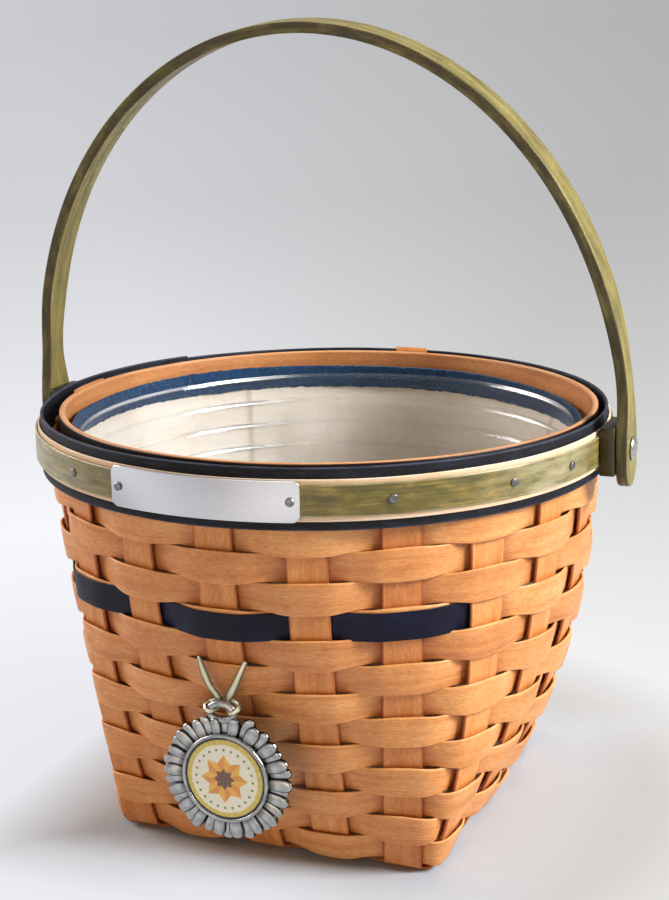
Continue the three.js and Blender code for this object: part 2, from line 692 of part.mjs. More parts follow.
for (const [side, angle] of Object.entries(EARS)) {
  addPiece(`ear_${side}`, drilled(makeEar(angle), rivetBores), 'darkOlive');
  const profile = rivetProfile(INNER_BAND_INNER, RIVET_SEAT);
  addPiece(`rivet_${side}`, turnedPin(profile, SHANK_STEPS, angle), 'steel');
}
addPiece('handle', drilled(makeHandle(), eyeBores), 'olive');
addPiece('name_plate', drilled(makePlate(), tackBores), 'steel');
for (const [side, angle] of Object.entries(tackAngles)) {
  const profile = nailProfile(NAVY_INNER, SEAT_RADIUS + PLATE_THICK + GAP, TACK_RADIUS, TACK_RISE);
  addPiece(`plate_tack_${side}`, turnedPin(profile, NAIL_STEPS, angle), 'steel');
}
NAIL_ANGLES.forEach((angle, i) => {
  const profile = nailProfile(NAVY_INNER, SEAT_RADIUS, NAIL_RADIUS, NAIL_RISE);
  addPiece(`band_nail_${i + 1}`, turnedPin(profile, NAIL_STEPS, angle), 'steel');
});
addPiece('liner', makeLiner(), 'cotton');
addPiece('liner_trim', makeTrim(), 'denim');
addPiece('protector', makeProtector(), 'clear');
addPiece('pendant_frame', makePendantFrame(), 'pewter');
addPiece('pendant_insert', makeInsert(), 'print');
addPiece('pendant_cord', makeCord(), 'cord');

export default part;
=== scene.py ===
"""Splint basket: the looks of every piece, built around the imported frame. Sizes are in millimetres."""
import math

import bpy
import numpy as np
from mathutils import Matrix, Vector


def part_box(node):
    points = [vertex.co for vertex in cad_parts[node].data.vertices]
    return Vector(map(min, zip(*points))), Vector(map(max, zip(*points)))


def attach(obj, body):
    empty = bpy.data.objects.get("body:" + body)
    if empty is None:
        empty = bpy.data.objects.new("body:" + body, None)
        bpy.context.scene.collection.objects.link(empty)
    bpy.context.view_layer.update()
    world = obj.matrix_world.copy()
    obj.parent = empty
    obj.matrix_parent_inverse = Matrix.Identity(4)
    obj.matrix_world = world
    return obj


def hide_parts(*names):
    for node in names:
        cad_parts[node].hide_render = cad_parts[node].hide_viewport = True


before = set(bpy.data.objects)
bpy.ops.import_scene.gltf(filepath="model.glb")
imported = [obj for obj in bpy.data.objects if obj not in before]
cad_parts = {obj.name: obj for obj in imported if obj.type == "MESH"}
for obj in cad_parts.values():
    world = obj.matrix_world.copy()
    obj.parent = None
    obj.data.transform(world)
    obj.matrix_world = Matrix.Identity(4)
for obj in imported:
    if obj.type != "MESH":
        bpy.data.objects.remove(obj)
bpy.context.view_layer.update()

MM = 0.001
rng = np.random.default_rng(20)

# Sizes of the solids; base, ears, pendant and plate are set a little off them to follow the photograph
STAKE_WIDTH, STAKE_THICK, STAKE_COUNT = 15.9, 1.2, 20
PER_SIDE, HEAD_TURN = STAKE_COUNT // 4, 360 / STAKE_COUNT
WEAVER_WIDTH, WEAVER_THICK, ROWS = 12.7, 1.0, 14
FIRST_ROW, ROW_PITCH = 0.06, 0.0656
ACCENT_ROW, ACCENT_STAKES, ACCENT_WIDTH, ACCENT_THICK = 9, (19, 0, 1, 2, 3, 4, 5), 11.8, 0.6
BASE_HALF, BASE_PITCH, SIDE_LEANS = 69.4, 29.2, (0, 9.0, 0, 11.25)
STAKE_TOP, RIM_RADIUS, RIM_CENTRE = 176.0, 114.6, 164.8
BAND_LOW, BAND_HIGH, INNER_BAND_RADIUS, NAVY_BAND_RADIUS = 152.8, 176.8, 112.2, 119.4
INNER_BAND_THICK, NAVY_BAND_THICK = 2.4, 1.2
NATURAL_BAND = dict(inner=120.3, thick=0.8, bottom=156.85, top=172.75)
GREEN_BAND = dict(inner=121.4, thick=0.9, bottom=158.7, top=170.9)
SEAT_RADIUS, EAR_FACE, EAR_HALF_DEPTH, EAR_HALF_HEIGHT = 122.6, 128.2, 10.4, 10.2
PLATE_TURN, PLATE_SPAN, PLATE_HEIGHT, PLATE_THICK, TACK_INSET = -0.7, 36.5, 16.0, 0.8, 1.7
NAIL_ANGLES = (-31, 33.5, 57.2, 73.2, 133, -133)
PIN_RADIUS, PIN_SHANK, PIN_INNER, RIVET_RADIUS, RIVET_SHANK = 1.7, 0.6, 118.9, 4.9, 2.3
HANDLE_LEG, HANDLE_THICK, HANDLE_LEAN = 130.75, 4.5, 6.0
EYE_RADIUS, EYE_DROP, NECK_RISE, NECK_WIDTH = 9.8, 6.2, 29.0, 11.5
BOW_WIDTH, BOW_START, BOW_HEIGHT = 15.0, 11.0, 157.0
LINER_BASE, LINER_RIM, LINER_TOP, LINER_FULLNESS, LINER_THICK = 63.8, 107.3, 156.2, 0.6, 0.7
TRIM_RADIUS, TRIM_LOW, TRIM_HIGH, TRIM_THICK = 107.8, 158.8, 169.6, 1.2
CUP_BASE, CUP_RIM, CUP_THICK = 61.8, 104.5, 1.1
PENDANT = np.array([2.4, -111.609, 50.8])
BAIL_BAR = np.array([0.7, -112.309, 80.3])
PETALS, PETAL_START, PETAL_THICK = 18, 15, 1.6
BEZEL_RADIUS, PRINT_RADIUS, BAIL_HALF, BAIL_WIRE = 17.4, 16.6, (5.2, 3.4), 1.45

# Camera at the photograph's viewpoint
CAMERA_PLACE, CAMERA_LENS = (0.27536, -0.68300, 0.33400), 70.46
CAMERA_AZIMUTH, CAMERA_ELEVATION, CAMERA_ROLL = 21.64, 13.74, -0.94


def add_object(name, data):
    thing = bpy.data.objects.new(name, data)
    bpy.context.scene.collection.objects.link(thing)
    return thing


def direction(azimuth, elevation):
    """The way out from the basket, in degrees: azimuth 0 is the front and 90 the right."""
    a, e = math.radians(azimuth), math.radians(elevation)
    return Vector((math.sin(a) * math.cos(e), -math.cos(a) * math.cos(e), math.sin(e)))


def make_camera():
    back = direction(CAMERA_AZIMUTH, CAMERA_ELEVATION)
    level = direction(CAMERA_AZIMUTH + 90, 0)
    upright = back.cross(level)
    roll = math.radians(CAMERA_ROLL)
    right = math.cos(roll) * level + math.sin(roll) * upright
    top = math.cos(roll) * upright - math.sin(roll) * level
    data = bpy.data.cameras.new("camera")
    data.lens, data.sensor_width, data.sensor_fit = CAMERA_LENS, 36, "AUTO"
    data.clip_start, data.clip_end = 0.02, 100
    camera = add_object("camera", data)
    camera.matrix_world = Matrix((right, top, back)).transposed().to_4x4()
    camera.location = CAMERA_PLACE
    bpy.context.scene.camera = camera


# Vectors and meshes
def unit(v):
    return v / np.linalg.norm(v, axis=-1, keepdims=True)


def bearing(angle):
    a = np.radians(angle)
    return np.stack([np.sin(a), -np.cos(a), np.zeros_like(a)], -1)


def full_turn(steps):
    return np.linspace(0, 2 * np.pi, steps, endpoint=False)


def smooth(x):
    x = np.clip(x, 0, 1)
    return x * x * (3 - 2 * x)


def bezier(t, a, b, c, d):
    """Points and directions of a curve that leaves a towards b and reaches d from c."""
    line = a * (1 - t) ** 3 + b * 3 * t * (1 - t) ** 2 + c * 3 * t * t * (1 - t) + d * t ** 3
    return line, unit((b - a) * (1 - t) ** 2 + (c - b) * 2 * t * (1 - t) + (d - c) * t * t)


def ripple(angles, amount):
    """Seeded smooth unevenness that closes on itself after a full turn."""
    total = np.zeros_like(angles)
    for k in range(1, 5):
        total += rng.normal() * np.sin(2 * np.pi * (rng.integers(1, 5) * k * angles / 360 + rng.random())) / k
    return amount * total


class Skin:
    """Collects swept shells into one mesh, with uvs along and across the grain and a tone for each point."""

    def __init__(self):
        self.points, self.faces, self.uvs, self.tone, self.count = [], [], [], [], 0

    def loft(self, stations, closed=False, tone=0.0):
        n, m = stations.shape[:2]
        start = self.count
        steps = np.linalg.norm(np.diff(stations.mean(1), axis=0, append=stations[:1].mean(1)), axis=1)
        along = np.concatenate([[0], np.cumsum(steps)])
        widest = stations[np.argmax(np.linalg.norm(stations[:, 0] - stations[:, m // 2], axis=1))]
        around = np.concatenate([[0], np.cumsum(np.linalg.norm(np.roll(widest, -1, 0) - widest, axis=1))])
        i, j = np.meshgrid(np.arange(n if closed else n - 1), np.arange(m), indexing="ij")
        i, j = i.ravel(), j.ravel()
        ni, nj = (i + 1) % n, (j + 1) % m
        self.faces += (start + np.stack([i * m + j, i * m + nj, ni * m + nj, ni * m + j], -1)).tolist()
        u = np.stack([along[i], along[i], along[i + 1], along[i + 1]], -1)
        v = np.stack([around[j], around[j + 1], around[j + 1], around[j]], -1)
        self.uvs.append(np.stack([u, v], -1).reshape(-1, 2))
        if not closed:
            self.faces.append((start + np.arange(m)[::-1]).tolist())
            self.faces.append((start + (n - 1) * m + np.arange(m)).tolist())
            self.uvs.append(np.stack([np.zeros(m), around[:m][::-1]], -1))
            self.uvs.append(np.stack([np.full(m, along[n - 1]), around[:m]], -1))
        self.points.append(stations.reshape(-1, 3))
        self.tone.append(np.broadcast_to(tone, (n, m)).ravel())
        self.count += n * m
        return self

    def piece(self, name, slot, material, node, body="basket"):
        """Makes the mesh, in metres, and puts it in the frame in place of the node."""
        mesh = bpy.data.meshes.new(name)
        mesh.from_pydata(np.concatenate(self.points) * MM, [], self.faces)
        mesh.polygons.foreach_set("use_smooth", [True] * len(mesh.polygons))
        grain = np.concatenate(self.uvs) * MM + rng.random(2) * 20
        mesh.uv_layers.new(name="grain").data.foreach_set("uv", grain.ravel())
        tone = np.concatenate(self.tone).astype(np.float32)
        mesh.attributes.new("tone", "FLOAT", "POINT").data.foreach_set("value", tone)
        mesh.materials.append(material)
        piece = add_object(name, mesh)
        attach(piece, body)
        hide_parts(node)
        return piece


def plank(width, thick, edge=0.35, crown=0.0):
    """Thin section with round edges, as (across, out): right edge, outer face, left edge, inner face."""
    half, rise = width / 2, thick / 2
    turn = np.radians(np.linspace(-90, 90, 5))
    right = np.stack([half - edge + edge * np.cos(turn), rise * np.sin(turn)], -1)
    across = np.linspace(half - 2.2 * edge, -half + 2.2 * edge, 5)
    swell = crown * (1 - (across / half) ** 2)
    outer_face = np.stack([across, swell + rise], -1)
    inner_face = np.stack([-across, swell - rise], -1)
    return np.concatenate([right, outer_face, -right, inner_face])


RIGHT_EDGE, OUTER_FACE, LEFT_EDGE = slice(0, 5), slice(4, 11), slice(10, 15)


def board(width, thick, fillet):
    """Thick section with small round corners."""
    half, rise = width / 2, thick / 2
    turn = np.radians([0, 30, 60, 90])
    low = np.stack([half - fillet + fillet * np.sin(turn), fillet - rise - fillet * np.cos(turn)], -1)
    side = np.array([[half, 1.7 * fillet - rise], [half, rise - 1.7 * fillet]])
    high = np.stack([half - fillet + fillet * np.cos(turn), rise - fillet + fillet * np.sin(turn)], -1)
    face = np.array([[half - 1.9 * fillet, rise], [0, rise], [1.9 * fillet - half, rise]])
    right = np.concatenate([low, side, high, face])
    return np.concatenate([right, -right])


BOARD_RIGHT, BOARD_LEFT = slice(1, 9), slice(14, 22)


def sweep(path, outs, sections, closed=False):
    """Places one section, or one for each station, along a path whose outer side faces outs."""
    if closed:
        ahead = np.roll(path, -1, 0) - np.roll(path, 1, 0)
    else:
        ahead = np.gradient(path, axis=0)
    ahead = unit(ahead)
    across = unit(np.cross(outs, ahead))
    outward = np.cross(ahead, across)
    sections = np.broadcast_to(sections, (len(path), *np.shape(sections)[-2:]))
    return path[:, None] + sections[..., :1] * across[:, None] + sections[..., 1:] * outward[:, None]


def lathe(profile, origin, axis, steps):
    """Turns (radius, height) pairs about a level axis."""
    axis = unit(np.asarray(axis, float))
    side = unit(np.cross([0.0, 0.0, 1.0], axis))
    other = np.cross(axis, side)
    turn = full_turn(steps)
    ring = np.cos(turn)[:, None] * side + np.sin(turn)[:, None] * other
    return np.stack([origin + axis * height + ring * max(radius, 0.02) for radius, height in profile])


# Materials
def rgb(red, green, blue):
    shares = [c / 255 for c in (red, green, blue)]
    return (*(c / 12.92 if c < 0.0404 else ((c + 0.055) / 1.055) ** 2.4 for c in shares), 1.0)


NOISE_ROUGHNESS = 0.6


class Nodes:
    """Short calls for the nodes of one tree. An input given as None keeps its own value."""

    def __init__(self, tree):
        self.tree = tree

    def put(self, kind, *inputs, **settings):
        node = self.tree.nodes.new("ShaderNode" + kind)
        for key, value in settings.items():
            setattr(node, key, value)
        for socket, value in zip(node.inputs, inputs):
            self.join(value, socket)
        return node

    def join(self, value, socket):
        if isinstance(value, bpy.types.NodeSocket):
            self.tree.links.new(value, socket)
        elif value is not None:
            socket.default_value = value

    def uv(self, across=1.0, along=1.0):
        grain = self.put("UVMap", uv_map="grain").outputs[0]
        return self.put("Mapping", grain, None, None, (along, across, 1)).outputs[0]

    def tone(self):
        return self.put("Attribute", attribute_name="tone").outputs["Fac"]

    def noise(self, vector, scale=1.0, detail=3.0):
        return self.put("TexNoise", vector, None, scale, detail, NOISE_ROUGHNESS).outputs["Fac"]

    def math(self, operation, a, b=None, clamp=False):
        return self.put("Math", a, b, operation=operation, use_clamp=clamp).outputs[0]

    def plus(self, a, b, clamp=False):
        return self.math("ADD", a, b, clamp)

    def times(self, a, b, clamp=False):
        return self.math("MULTIPLY", a, b, clamp)

    def span(self, value, low, high, to_low=0.0, to_high=1.0):
        return self.put("MapRange", value, low, high, to_low, to_high).outputs[0]

    def ramp(self, fac, *stops):
        node = self.put("ValToRGB", fac)
        while len(node.color_ramp.elements) < len(stops):
            node.color_ramp.elements.new(0.5)
        for element, (place, colour) in zip(node.color_ramp.elements, stops):
            element.position, element.color = place, colour
        return node.outputs[0]

    def mix(self, fac, a, b, blend="MIX"):
        other_types = [None] * 5
        return self.put("Mix", fac, *other_types, a, b, data_type="RGBA", blend_type=blend).outputs[2]

    def slant(self, along, across):
        """Ribs that run askew: this many turns for each metre along the grain and across it."""
        run, side = self.put("SeparateXYZ", self.uv()).outputs[:2]
        return self.plus(self.times(run, along), self.times(side, across))

    def blend(self, share, first, second):
        """Ends the tree in a mix of two shaders."""
        node = self.put("MixShader", share, first, second)
        end = next(n for n in self.tree.nodes if n.type in ("OUTPUT_MATERIAL", "OUTPUT_WORLD"))
        self.join(node.outputs[0], end.inputs["Surface"])


class Surface(Nodes):
    """A Principled material and the nodes that feed it."""

    def __init__(self, name, **values):
        self.material = bpy.data.materials.new(name)
        self.material.use_nodes = True
        super().__init__(self.material.node_tree)
        self.shader = self.tree.nodes["Principled BSDF"]
        for key, value in values.items():
            self.shader.inputs[key.replace("_", " ").title().replace("Ior", "IOR")].default_value = value

    def bump(self, height, distance, strength=0.6):
        node = self.put("Bump", strength, distance)
        self.join(height, node.inputs["Height"])
        self.join(node.outputs[0], self.shader.inputs["Normal"])

    def finish(self, colour=None, rough=None, alpha=None):
        for value, key in ((colour, "Base Color"), (rough, "Roughness"), (alpha, "Alpha")):
            self.join(value, self.shader.inputs[key])
        return self.material


def wood(name, dark, mid, light, edge, shade=None, rough=(0.38, 0.56), figure=0.6, patchy=(0.30, 0.60),
         gloss=0.4, fine=1.0):
    """Stained splint, grain along the piece. Tone below 0 darkens towards the shade colour, for random tone
    and for painted shade; tone above 0 gives the edge colour, partly wear and partly painted light.
    """
    s = Surface(name, specular_ior_level=gloss)
    flecks = s.noise(s.uv(1200, 380), detail=5)
    lines = s.noise(s.uv(900, 9), detail=4)
    streaks = s.noise(s.uv(150 * fine, 7 * fine))
    blotch = s.noise(s.uv(60 * fine, 30 * fine))
    grain = s.plus(s.times(streaks, 0.5), s.times(blotch, 0.5))
    reach = 0.16 / figure
    colour = s.ramp(grain, (0.5 - reach, dark), (0.5, mid), (0.5 + reach, light))
    colour = s.mix(s.span(flecks, 0.38, 0.62, 0.34, 0.0), colour, dark)
    colour = s.mix(s.span(lines, 0.36, 0.52, 0.12, 0.0), colour, dark)
    tone = s.tone()
    # Tone below 0: random darker tone, and painted shade where a piece's tone stands for it.
    colour = s.mix(s.times(tone, -1.0, clamp=True), colour, shade or dark, "MULTIPLY")
    # Patchy mask for the edge colour: wear, and on some pieces painted light.
    wear_and_painted_light = s.span(s.noise(s.uv(260, 60), detail=4), *patchy)
    colour = s.mix(s.times(tone, wear_and_painted_light, clamp=True), colour, edge)
    s.bump(s.plus(flecks, s.times(lines, 0.8)), 0.00008)
    return s.finish(colour, s.span(flecks, 0.3, 0.7, rough[1], rough[0]))


def metal(name, colour, dark, rough=(0.25, 0.4), brushed=False, cavity=False):
    s = Surface(name, metallic=1.0)
    lines = s.noise(s.uv(9000, 16) if brushed else s.uv(300, 300))
    # On brushed metal the broad paler and darker patches are a painted reflection.
    cloud = s.noise(s.uv(24, 14), detail=1) if brushed else lines
    shade = s.mix(s.span(cloud, 0.3, 0.7), dark, colour)
    if cavity:
        shade = s.mix(s.times(s.tone(), -1.0, clamp=True), shade, rgb(22, 21, 20))
    s.bump(lines, 0.000006 if brushed else 0.00002, 0.4)
    return s.finish(shade, s.span(lines, 0.3, 0.7, rough[0], rough[1]))


def denim():
    s = Surface("denim_twill", sheen_weight=0.2, specular_ior_level=0.15, roughness=0.92)
    rib = s.times(s.math("FRACT", s.slant(900.0, 520.0)), 2.0)
    ridge = s.math("SUBTRACT", 1.0, s.math("ABSOLUTE", s.plus(rib, -1.0)))
    weft = s.noise(s.uv(1100, 600), detail=2)
    wear_and_painted_light = s.noise(s.uv(90, 60), detail=4)
    colour = s.mix(s.span(ridge, 0.2, 0.9), rgb(7, 22, 46), rgb(22, 72, 118))
    colour = s.mix(s.span(weft, 0.56, 0.70, 0.0, 0.6), colour, rgb(108, 150, 184))
    colour = s.mix(s.span(wear_and_painted_light, 0.42, 0.72, 0.0, 0.2), colour, rgb(46, 100, 148))
    s.bump(s.plus(ridge, s.times(weft, 0.6)), 0.0003, 0.8)
    return s.finish(colour)


def cotton():
    s = Surface("liner_cotton", sheen_weight=0.15, specular_ior_level=0.12, roughness=0.95)
    warp = s.noise(s.uv(160, 2600), detail=2)
    weft = s.noise(s.uv(2600, 160), detail=2)
    cloud = s.noise(s.uv(30, 60))
    weave = s.plus(warp, weft)
    colour = s.mix(s.span(weave, 0.8, 1.2), rgb(238, 225, 208), rgb(250, 240, 226))
    colour = s.mix(s.span(cloud, 0.45, 0.70, 0.0, 0.3), colour, rgb(224, 204, 182))
    colour = s.mix(s.times(s.tone(), -1.0, clamp=True), colour, rgb(170, 146, 124))
    s.bump(weave, 0.00015, 0.5)
    return s.finish(colour)


def clear_plastic():
    """Clear moulded cup that greys what is behind it; tone 1 is a painted white highlight on rim and ridges.
    """
    s = Surface("clear_plastic", roughness=0.05, ior=1.5, specular_ior_level=0.9, coat_weight=0.6)
    scuffs = s.noise(s.uv(40, 260), detail=4)
    tone = s.tone()
    glance = s.put("LayerWeight", 0.35).outputs["Facing"]
    alpha = s.plus(s.span(tone, 0.0, 1.0, 0.07, 0.85), s.span(scuffs, 0.56, 0.75, 0.0, 0.04))
    alpha = s.plus(alpha, s.times(s.math("POWER", glance, 3.0), 0.14), clamp=True)
    colour = s.mix(s.span(tone, 0.05, 0.35), rgb(118, 120, 124), rgb(254, 254, 254))
    s.join(s.span(tone, 0.3, 0.7), s.shader.inputs["Metallic"])
    return s.finish(colour, s.span(tone, 0.2, 0.6, 0.05, 0.32), alpha)


def printed_star():
    """An eight-point quilt star in a ring, printed on card; spot runs from -1 to 1 across the disc."""
    s = Surface("printed_star", roughness=0.16, coat_weight=1.0, coat_roughness=0.04)
    place = s.put("Attribute", attribute_name="spot").outputs["Vector"]
    x, y = s.put("SeparateXYZ", place).outputs[:2]
    radius = s.put("VectorMath", place, operation="LENGTH").outputs["Value"]
    angle = s.math("ARCTAN2", y, x)

    def fold(count):
        turns = s.math("FRACT", s.plus(s.times(angle, count / (2 * math.pi)), 0.5))
        return s.times(s.plus(turns, -0.5), 2 * math.pi / count)

    petal = fold(8.0)
    reach = s.times(radius, s.math("COSINE", petal))
    spread = s.times(radius, s.math("ABSOLUTE", s.math("SINE", petal)))
    edge = s.plus(reach, s.times(spread, 1.35))
    paper = s.span(s.noise(s.uv(900, 900)), 0.35, 0.65)
    field = s.mix(paper, rgb(244, 236, 208), rgb(250, 246, 228))
    half = s.span(petal, -0.02, 0.02)
    star = s.mix(half, rgb(244, 182, 52), rgb(232, 148, 36))
    colour = s.mix(s.span(edge, 0.585, 0.605, 1.0, 0.0), field, star)
    inner = s.mix(half, rgb(126, 74, 30), rgb(92, 50, 24))
    colour = s.mix(s.span(edge, 0.255, 0.275, 1.0, 0.0), colour, inner)
    bead = fold(24.0)
    off = s.plus(radius, -0.72)
    wide = s.times(bead, 0.72)
    dot = s.plus(s.times(off, off), s.times(wide, wide))
    colour = s.mix(s.span(dot, 0.0009, 0.0013, 1.0, 0.0), colour, rgb(128, 140, 70))
    ring = s.mix(paper, rgb(214, 184, 52), rgb(232, 208, 84))
    colour = s.mix(s.span(radius, 0.835, 0.85), colour, ring)
    colour = s.mix(s.span(radius, 0.945, 0.965), colour, rgb(40, 34, 22))
    return s.finish(colour)


def cord_thread():
    """Flat metallic braid: tone runs from -1 at its edges, a painted shade, to 1 along a painted highlight in
    the middle.
    """
    s = Surface("cord_thread", metallic=0.45, specular_ior_level=0.7)
    strand = s.math("ABSOLUTE", s.plus(s.math("FRACT", s.slant(900.0, 700.0)), -0.5))
    glint = s.noise(s.uv(1500, 300), detail=2)
    tone = s.tone()
    colour = s.mix(s.span(tone, -0.8, 0.4), rgb(48, 48, 30), rgb(126, 122, 82))
    colour = s.mix(s.span(tone, 0.3, 0.9), colour, rgb(236, 230, 200))
    colour = s.mix(s.span(strand, 0.05, 0.30, 0.25, 0.0), colour, rgb(84, 76, 40))
    colour = s.mix(s.span(glint, 0.60, 0.70, 0.0, 0.6), colour, rgb(250, 246, 222))
    s.bump(strand, 0.00015, 0.6)
    return s.finish(colour, s.span(glint, 0.4, 0.7, 0.45, 0.22))


MAPLE_DARK, MAPLE_MID, MAPLE_LIGHT = rgb(170, 88, 32), rgb(230, 152, 80), rgb(246, 188, 120)
STAKE_WOOD = wood("maple_stake", MAPLE_DARK, MAPLE_MID, MAPLE_LIGHT, rgb(240, 182, 114),
                  figure=0.5, gloss=0.5, fine=1.6)
WEAVER_WOOD = wood("maple_weaver", MAPLE_DARK, rgb(237, 162, 90), rgb(250, 199, 136), rgb(246, 196, 130),
                   figure=0.5, gloss=0.55, fine=1.6)
# The inner band's near-black shade colour paints the shade on its outer face, in the gap behind the navy
# band.
INNER_WOOD = wood("maple_inner_band", rgb(150, 86, 40), rgb(204, 135, 80), rgb(230, 170, 114),
                  rgb(242, 196, 144), shade=rgb(40, 24, 16))
NAVY_WOOD = wood("navy_band", rgb(9, 9, 12), rgb(20, 20, 27), rgb(40, 42, 54), rgb(78, 82, 100),
                 rough=(0.56, 0.76), figure=1.0, gloss=0.25, fine=3.0)
ACCENT_WOOD = wood("navy_accent", rgb(6, 6, 18), rgb(15, 15, 37), rgb(32, 34, 72), rgb(52, 54, 92), gloss=0.2)
CREAM_WOOD = wood("natural_band", rgb(204, 158, 114), rgb(236, 202, 166), rgb(248, 224, 196),
                  rgb(250, 232, 210))
# Its pale grey-green edge colour also paints the sheen at the band's front ends.
GREEN_WOOD = wood("green_band", rgb(62, 60, 22), rgb(112, 98, 36), rgb(184, 148, 68), rgb(196, 184, 146),
                  rough=(0.24, 0.40), figure=0.8, gloss=0.7, fine=4.0)
HANDLE_WOOD = wood("handle_wood", rgb(84, 74, 34), rgb(136, 122, 64), rgb(172, 156, 94), rgb(60, 50, 27),
                   patchy=(0.26, 0.56), figure=1.0, fine=2.2)
EAR_WOOD = wood("ear_wood", rgb(34, 30, 14), rgb(62, 55, 26), rgb(92, 82, 44), rgb(30, 22, 12))
STEEL = metal("rivet_steel", rgb(222, 220, 214), rgb(186, 184, 178), (0.18, 0.34))
NAIL_METAL = metal("nail_steel", rgb(150, 150, 148), rgb(112, 112, 110), (0.30, 0.46))
PLATE_METAL = metal("plate_metal", rgb(246, 245, 248), rgb(184, 183, 187), (0.22, 0.34), brushed=True)
PEWTER = metal("pewter", rgb(186, 186, 184), rgb(140, 140, 138), (0.20, 0.34), cavity=True)
DENIM, COTTON, CLEAR, STAR, CORD = denim(), cotton(), clear_plastic(), printed_star(), cord_thread()


# Pendant cord: a flat metallic thread, hitched round the bail bar, both ends tucked under a weaver
def make_cord():
    half = np.array([[-9.8, 1.65, 17.6], [-7.4, 0.6, 12.0], [-4.9, 0.6, 6.6], [-2.6, 1.6, 2.6],
                     [-1.5, 2.3, -0.4], [-2.2, 1.2, -2.6], [-4.0, -1.3, -3.0], [-5.9, -1.7, -2.3],
                     [-6.9, 0.1, -1.2], [-6.0, 2.6, -0.6], [-3.4, 4.2, -0.2]])
    knots = np.concatenate([half, [[0.0, 4.8, -0.2]], half[::-1] * [-1, 1, 1]]) + BAIL_BAR
    before, after = np.concatenate([knots[:1], knots[:-2]]), np.concatenate([knots[2:], knots[-1:]])
    t = np.linspace(0, 1, 8, endpoint=False)[:, None]
    path = []
    for a, b, c, d in zip(before, knots, knots[1:], after):
        path.append(0.5 * (2 * b + (c - a) * t + (2 * a - 5 * b + 4 * c - d) * t ** 2
                           + (3 * b - a - 3 * c + d) * t ** 3))
    path = np.concatenate([*path, knots[-1:]])
    share = np.linspace(-1, 1, len(path))
    outs = np.stack([0.25 * share, -np.ones_like(share), np.full_like(share, 0.3)], -1)
    ahead = unit(np.gradient(path, axis=0))
    outs = unit(outs - ahead * np.sum(outs * ahead, 1, keepdims=True))
    turn = full_turn(16)
    half_width = 1.05 + 0.5 * smooth((np.abs(share) - 0.55) / 0.15) + 0.18 * np.sin(26 * share)
    half_width *= 1 - 0.45 * smooth((np.abs(share) - 0.9) / 0.1)
    square = np.stack([np.cos(turn), np.sin(turn)], -1)
    square = np.sign(square) * np.abs(square) ** 0.65
    flat = square * np.stack([half_width, np.full_like(half_width, 0.42)], -1)[:, None]
    # Painted shade at the ribbon's edges and a painted highlight along its middle.
    tone = 2 * np.abs(np.sin(turn)) ** 3 - 1
    piece = Skin().loft(sweep(path, outs, flat), tone=tone).piece(
        "pendant_cord_thread", "cord", CORD, "pendant_cord")


# Wall: stakes climb from the square base to the round rim
def ease_out(share):
    return 2 * share - share * share


class Stake:
    def __init__(self, number):
        side, place = divmod(number, PER_SIDE)
        self.facing, self.lane = 90.0 * side, place - PER_SIDE // 2
        turn = math.radians(self.facing)
        x, y = self.lane * BASE_PITCH, -BASE_HALF
        foot = np.array([x * math.cos(turn) - y * math.sin(turn), x * math.sin(turn) + y * math.cos(turn), 0])
        head = bearing(self.facing + self.lane * HEAD_TURN) * RIM_RADIUS
        t = np.linspace(0, 1, 257)[:, None]
        bend, top = head + [0, 0, STAKE_TOP / 2], head + [0, 0, STAKE_TOP]
        low = foot + (bend - foot) * 2 / 3 + [SIDE_LEANS[side], 0, 0]
        high = top + (bend - top) * 2 / 3
        self.line, self.slope = bezier(t, foot, low, high, top)
        run = np.concatenate([[0], np.cumsum(np.linalg.norm(np.diff(self.line, axis=0), axis=1))])
        self.length = run[-1]
        self.share = run / run[-1]

    def at(self, share):
        """Point, climb and outward direction at shares of the stake's length."""
        share = np.atleast_1d(share)
        point, climb = (np.stack([np.interp(share, self.share, c) for c in track.T], -1)
                        for track in (self.line, self.slope))
        climb = unit(climb)
        twist = np.radians(self.facing + self.lane * HEAD_TURN * ease_out(point[:, 2] / STAKE_TOP))
        sideways = np.stack([np.cos(twist), np.sin(twist), np.zeros_like(twist)], -1)
        return point, climb, unit(np.cross(sideways, climb))


def edge_tone(stations, amount):
    """The round edges of a plank section show more tone than its faces."""
    tone = np.zeros(stations.shape[1])
    tone[RIGHT_EDGE] = tone[LEFT_EDGE] = amount
    return tone


STAKES = [Stake(n) for n in range(STAKE_COUNT)]
STAKE_END, PROUD_STAKE, PROUD_END = 170.0, 12, 178.5
ROW_SHARES = FIRST_ROW + ROW_PITCH * np.arange(ROWS)


def climb_line(number, top):
    """The wall part of a stake, pressed a little in and out by the rows."""
    share = np.linspace(0.024, min(top / STAKE_TOP, 1), 92)
    point, _, out = STAKES[number].at(share)
    row = (share - FIRST_ROW) / ROW_PITCH
    push = -0.22 * np.cos(np.pi * (row + number + 1)) * (row > -0.5) * (row < ROWS - 0.5)
    point = point + out * push[:, None]
    if top > STAKE_TOP:
        point = np.concatenate([point, point[-1:] + [0, 0, top - STAKE_TOP]])
        out = np.concatenate([out, out[-1:]])
    return point, out


def fold_up(start, end, out):
    """Short bend from the flat base into the wall."""
    foot = end[0] + unit(end[0] - end[1]) * (end[0][2] - start[2]) * 1.05
    control = np.array([foot[0], foot[1], start[2]])
    t = np.linspace(0, 1, 10)[1:-1, None]
    line = start * (1 - t) ** 2 + control * 2 * t * (1 - t) + end[0] * t * t
    return line, unit(np.array([0, 0, -1.0]) * (1 - t) + out[0] * t)


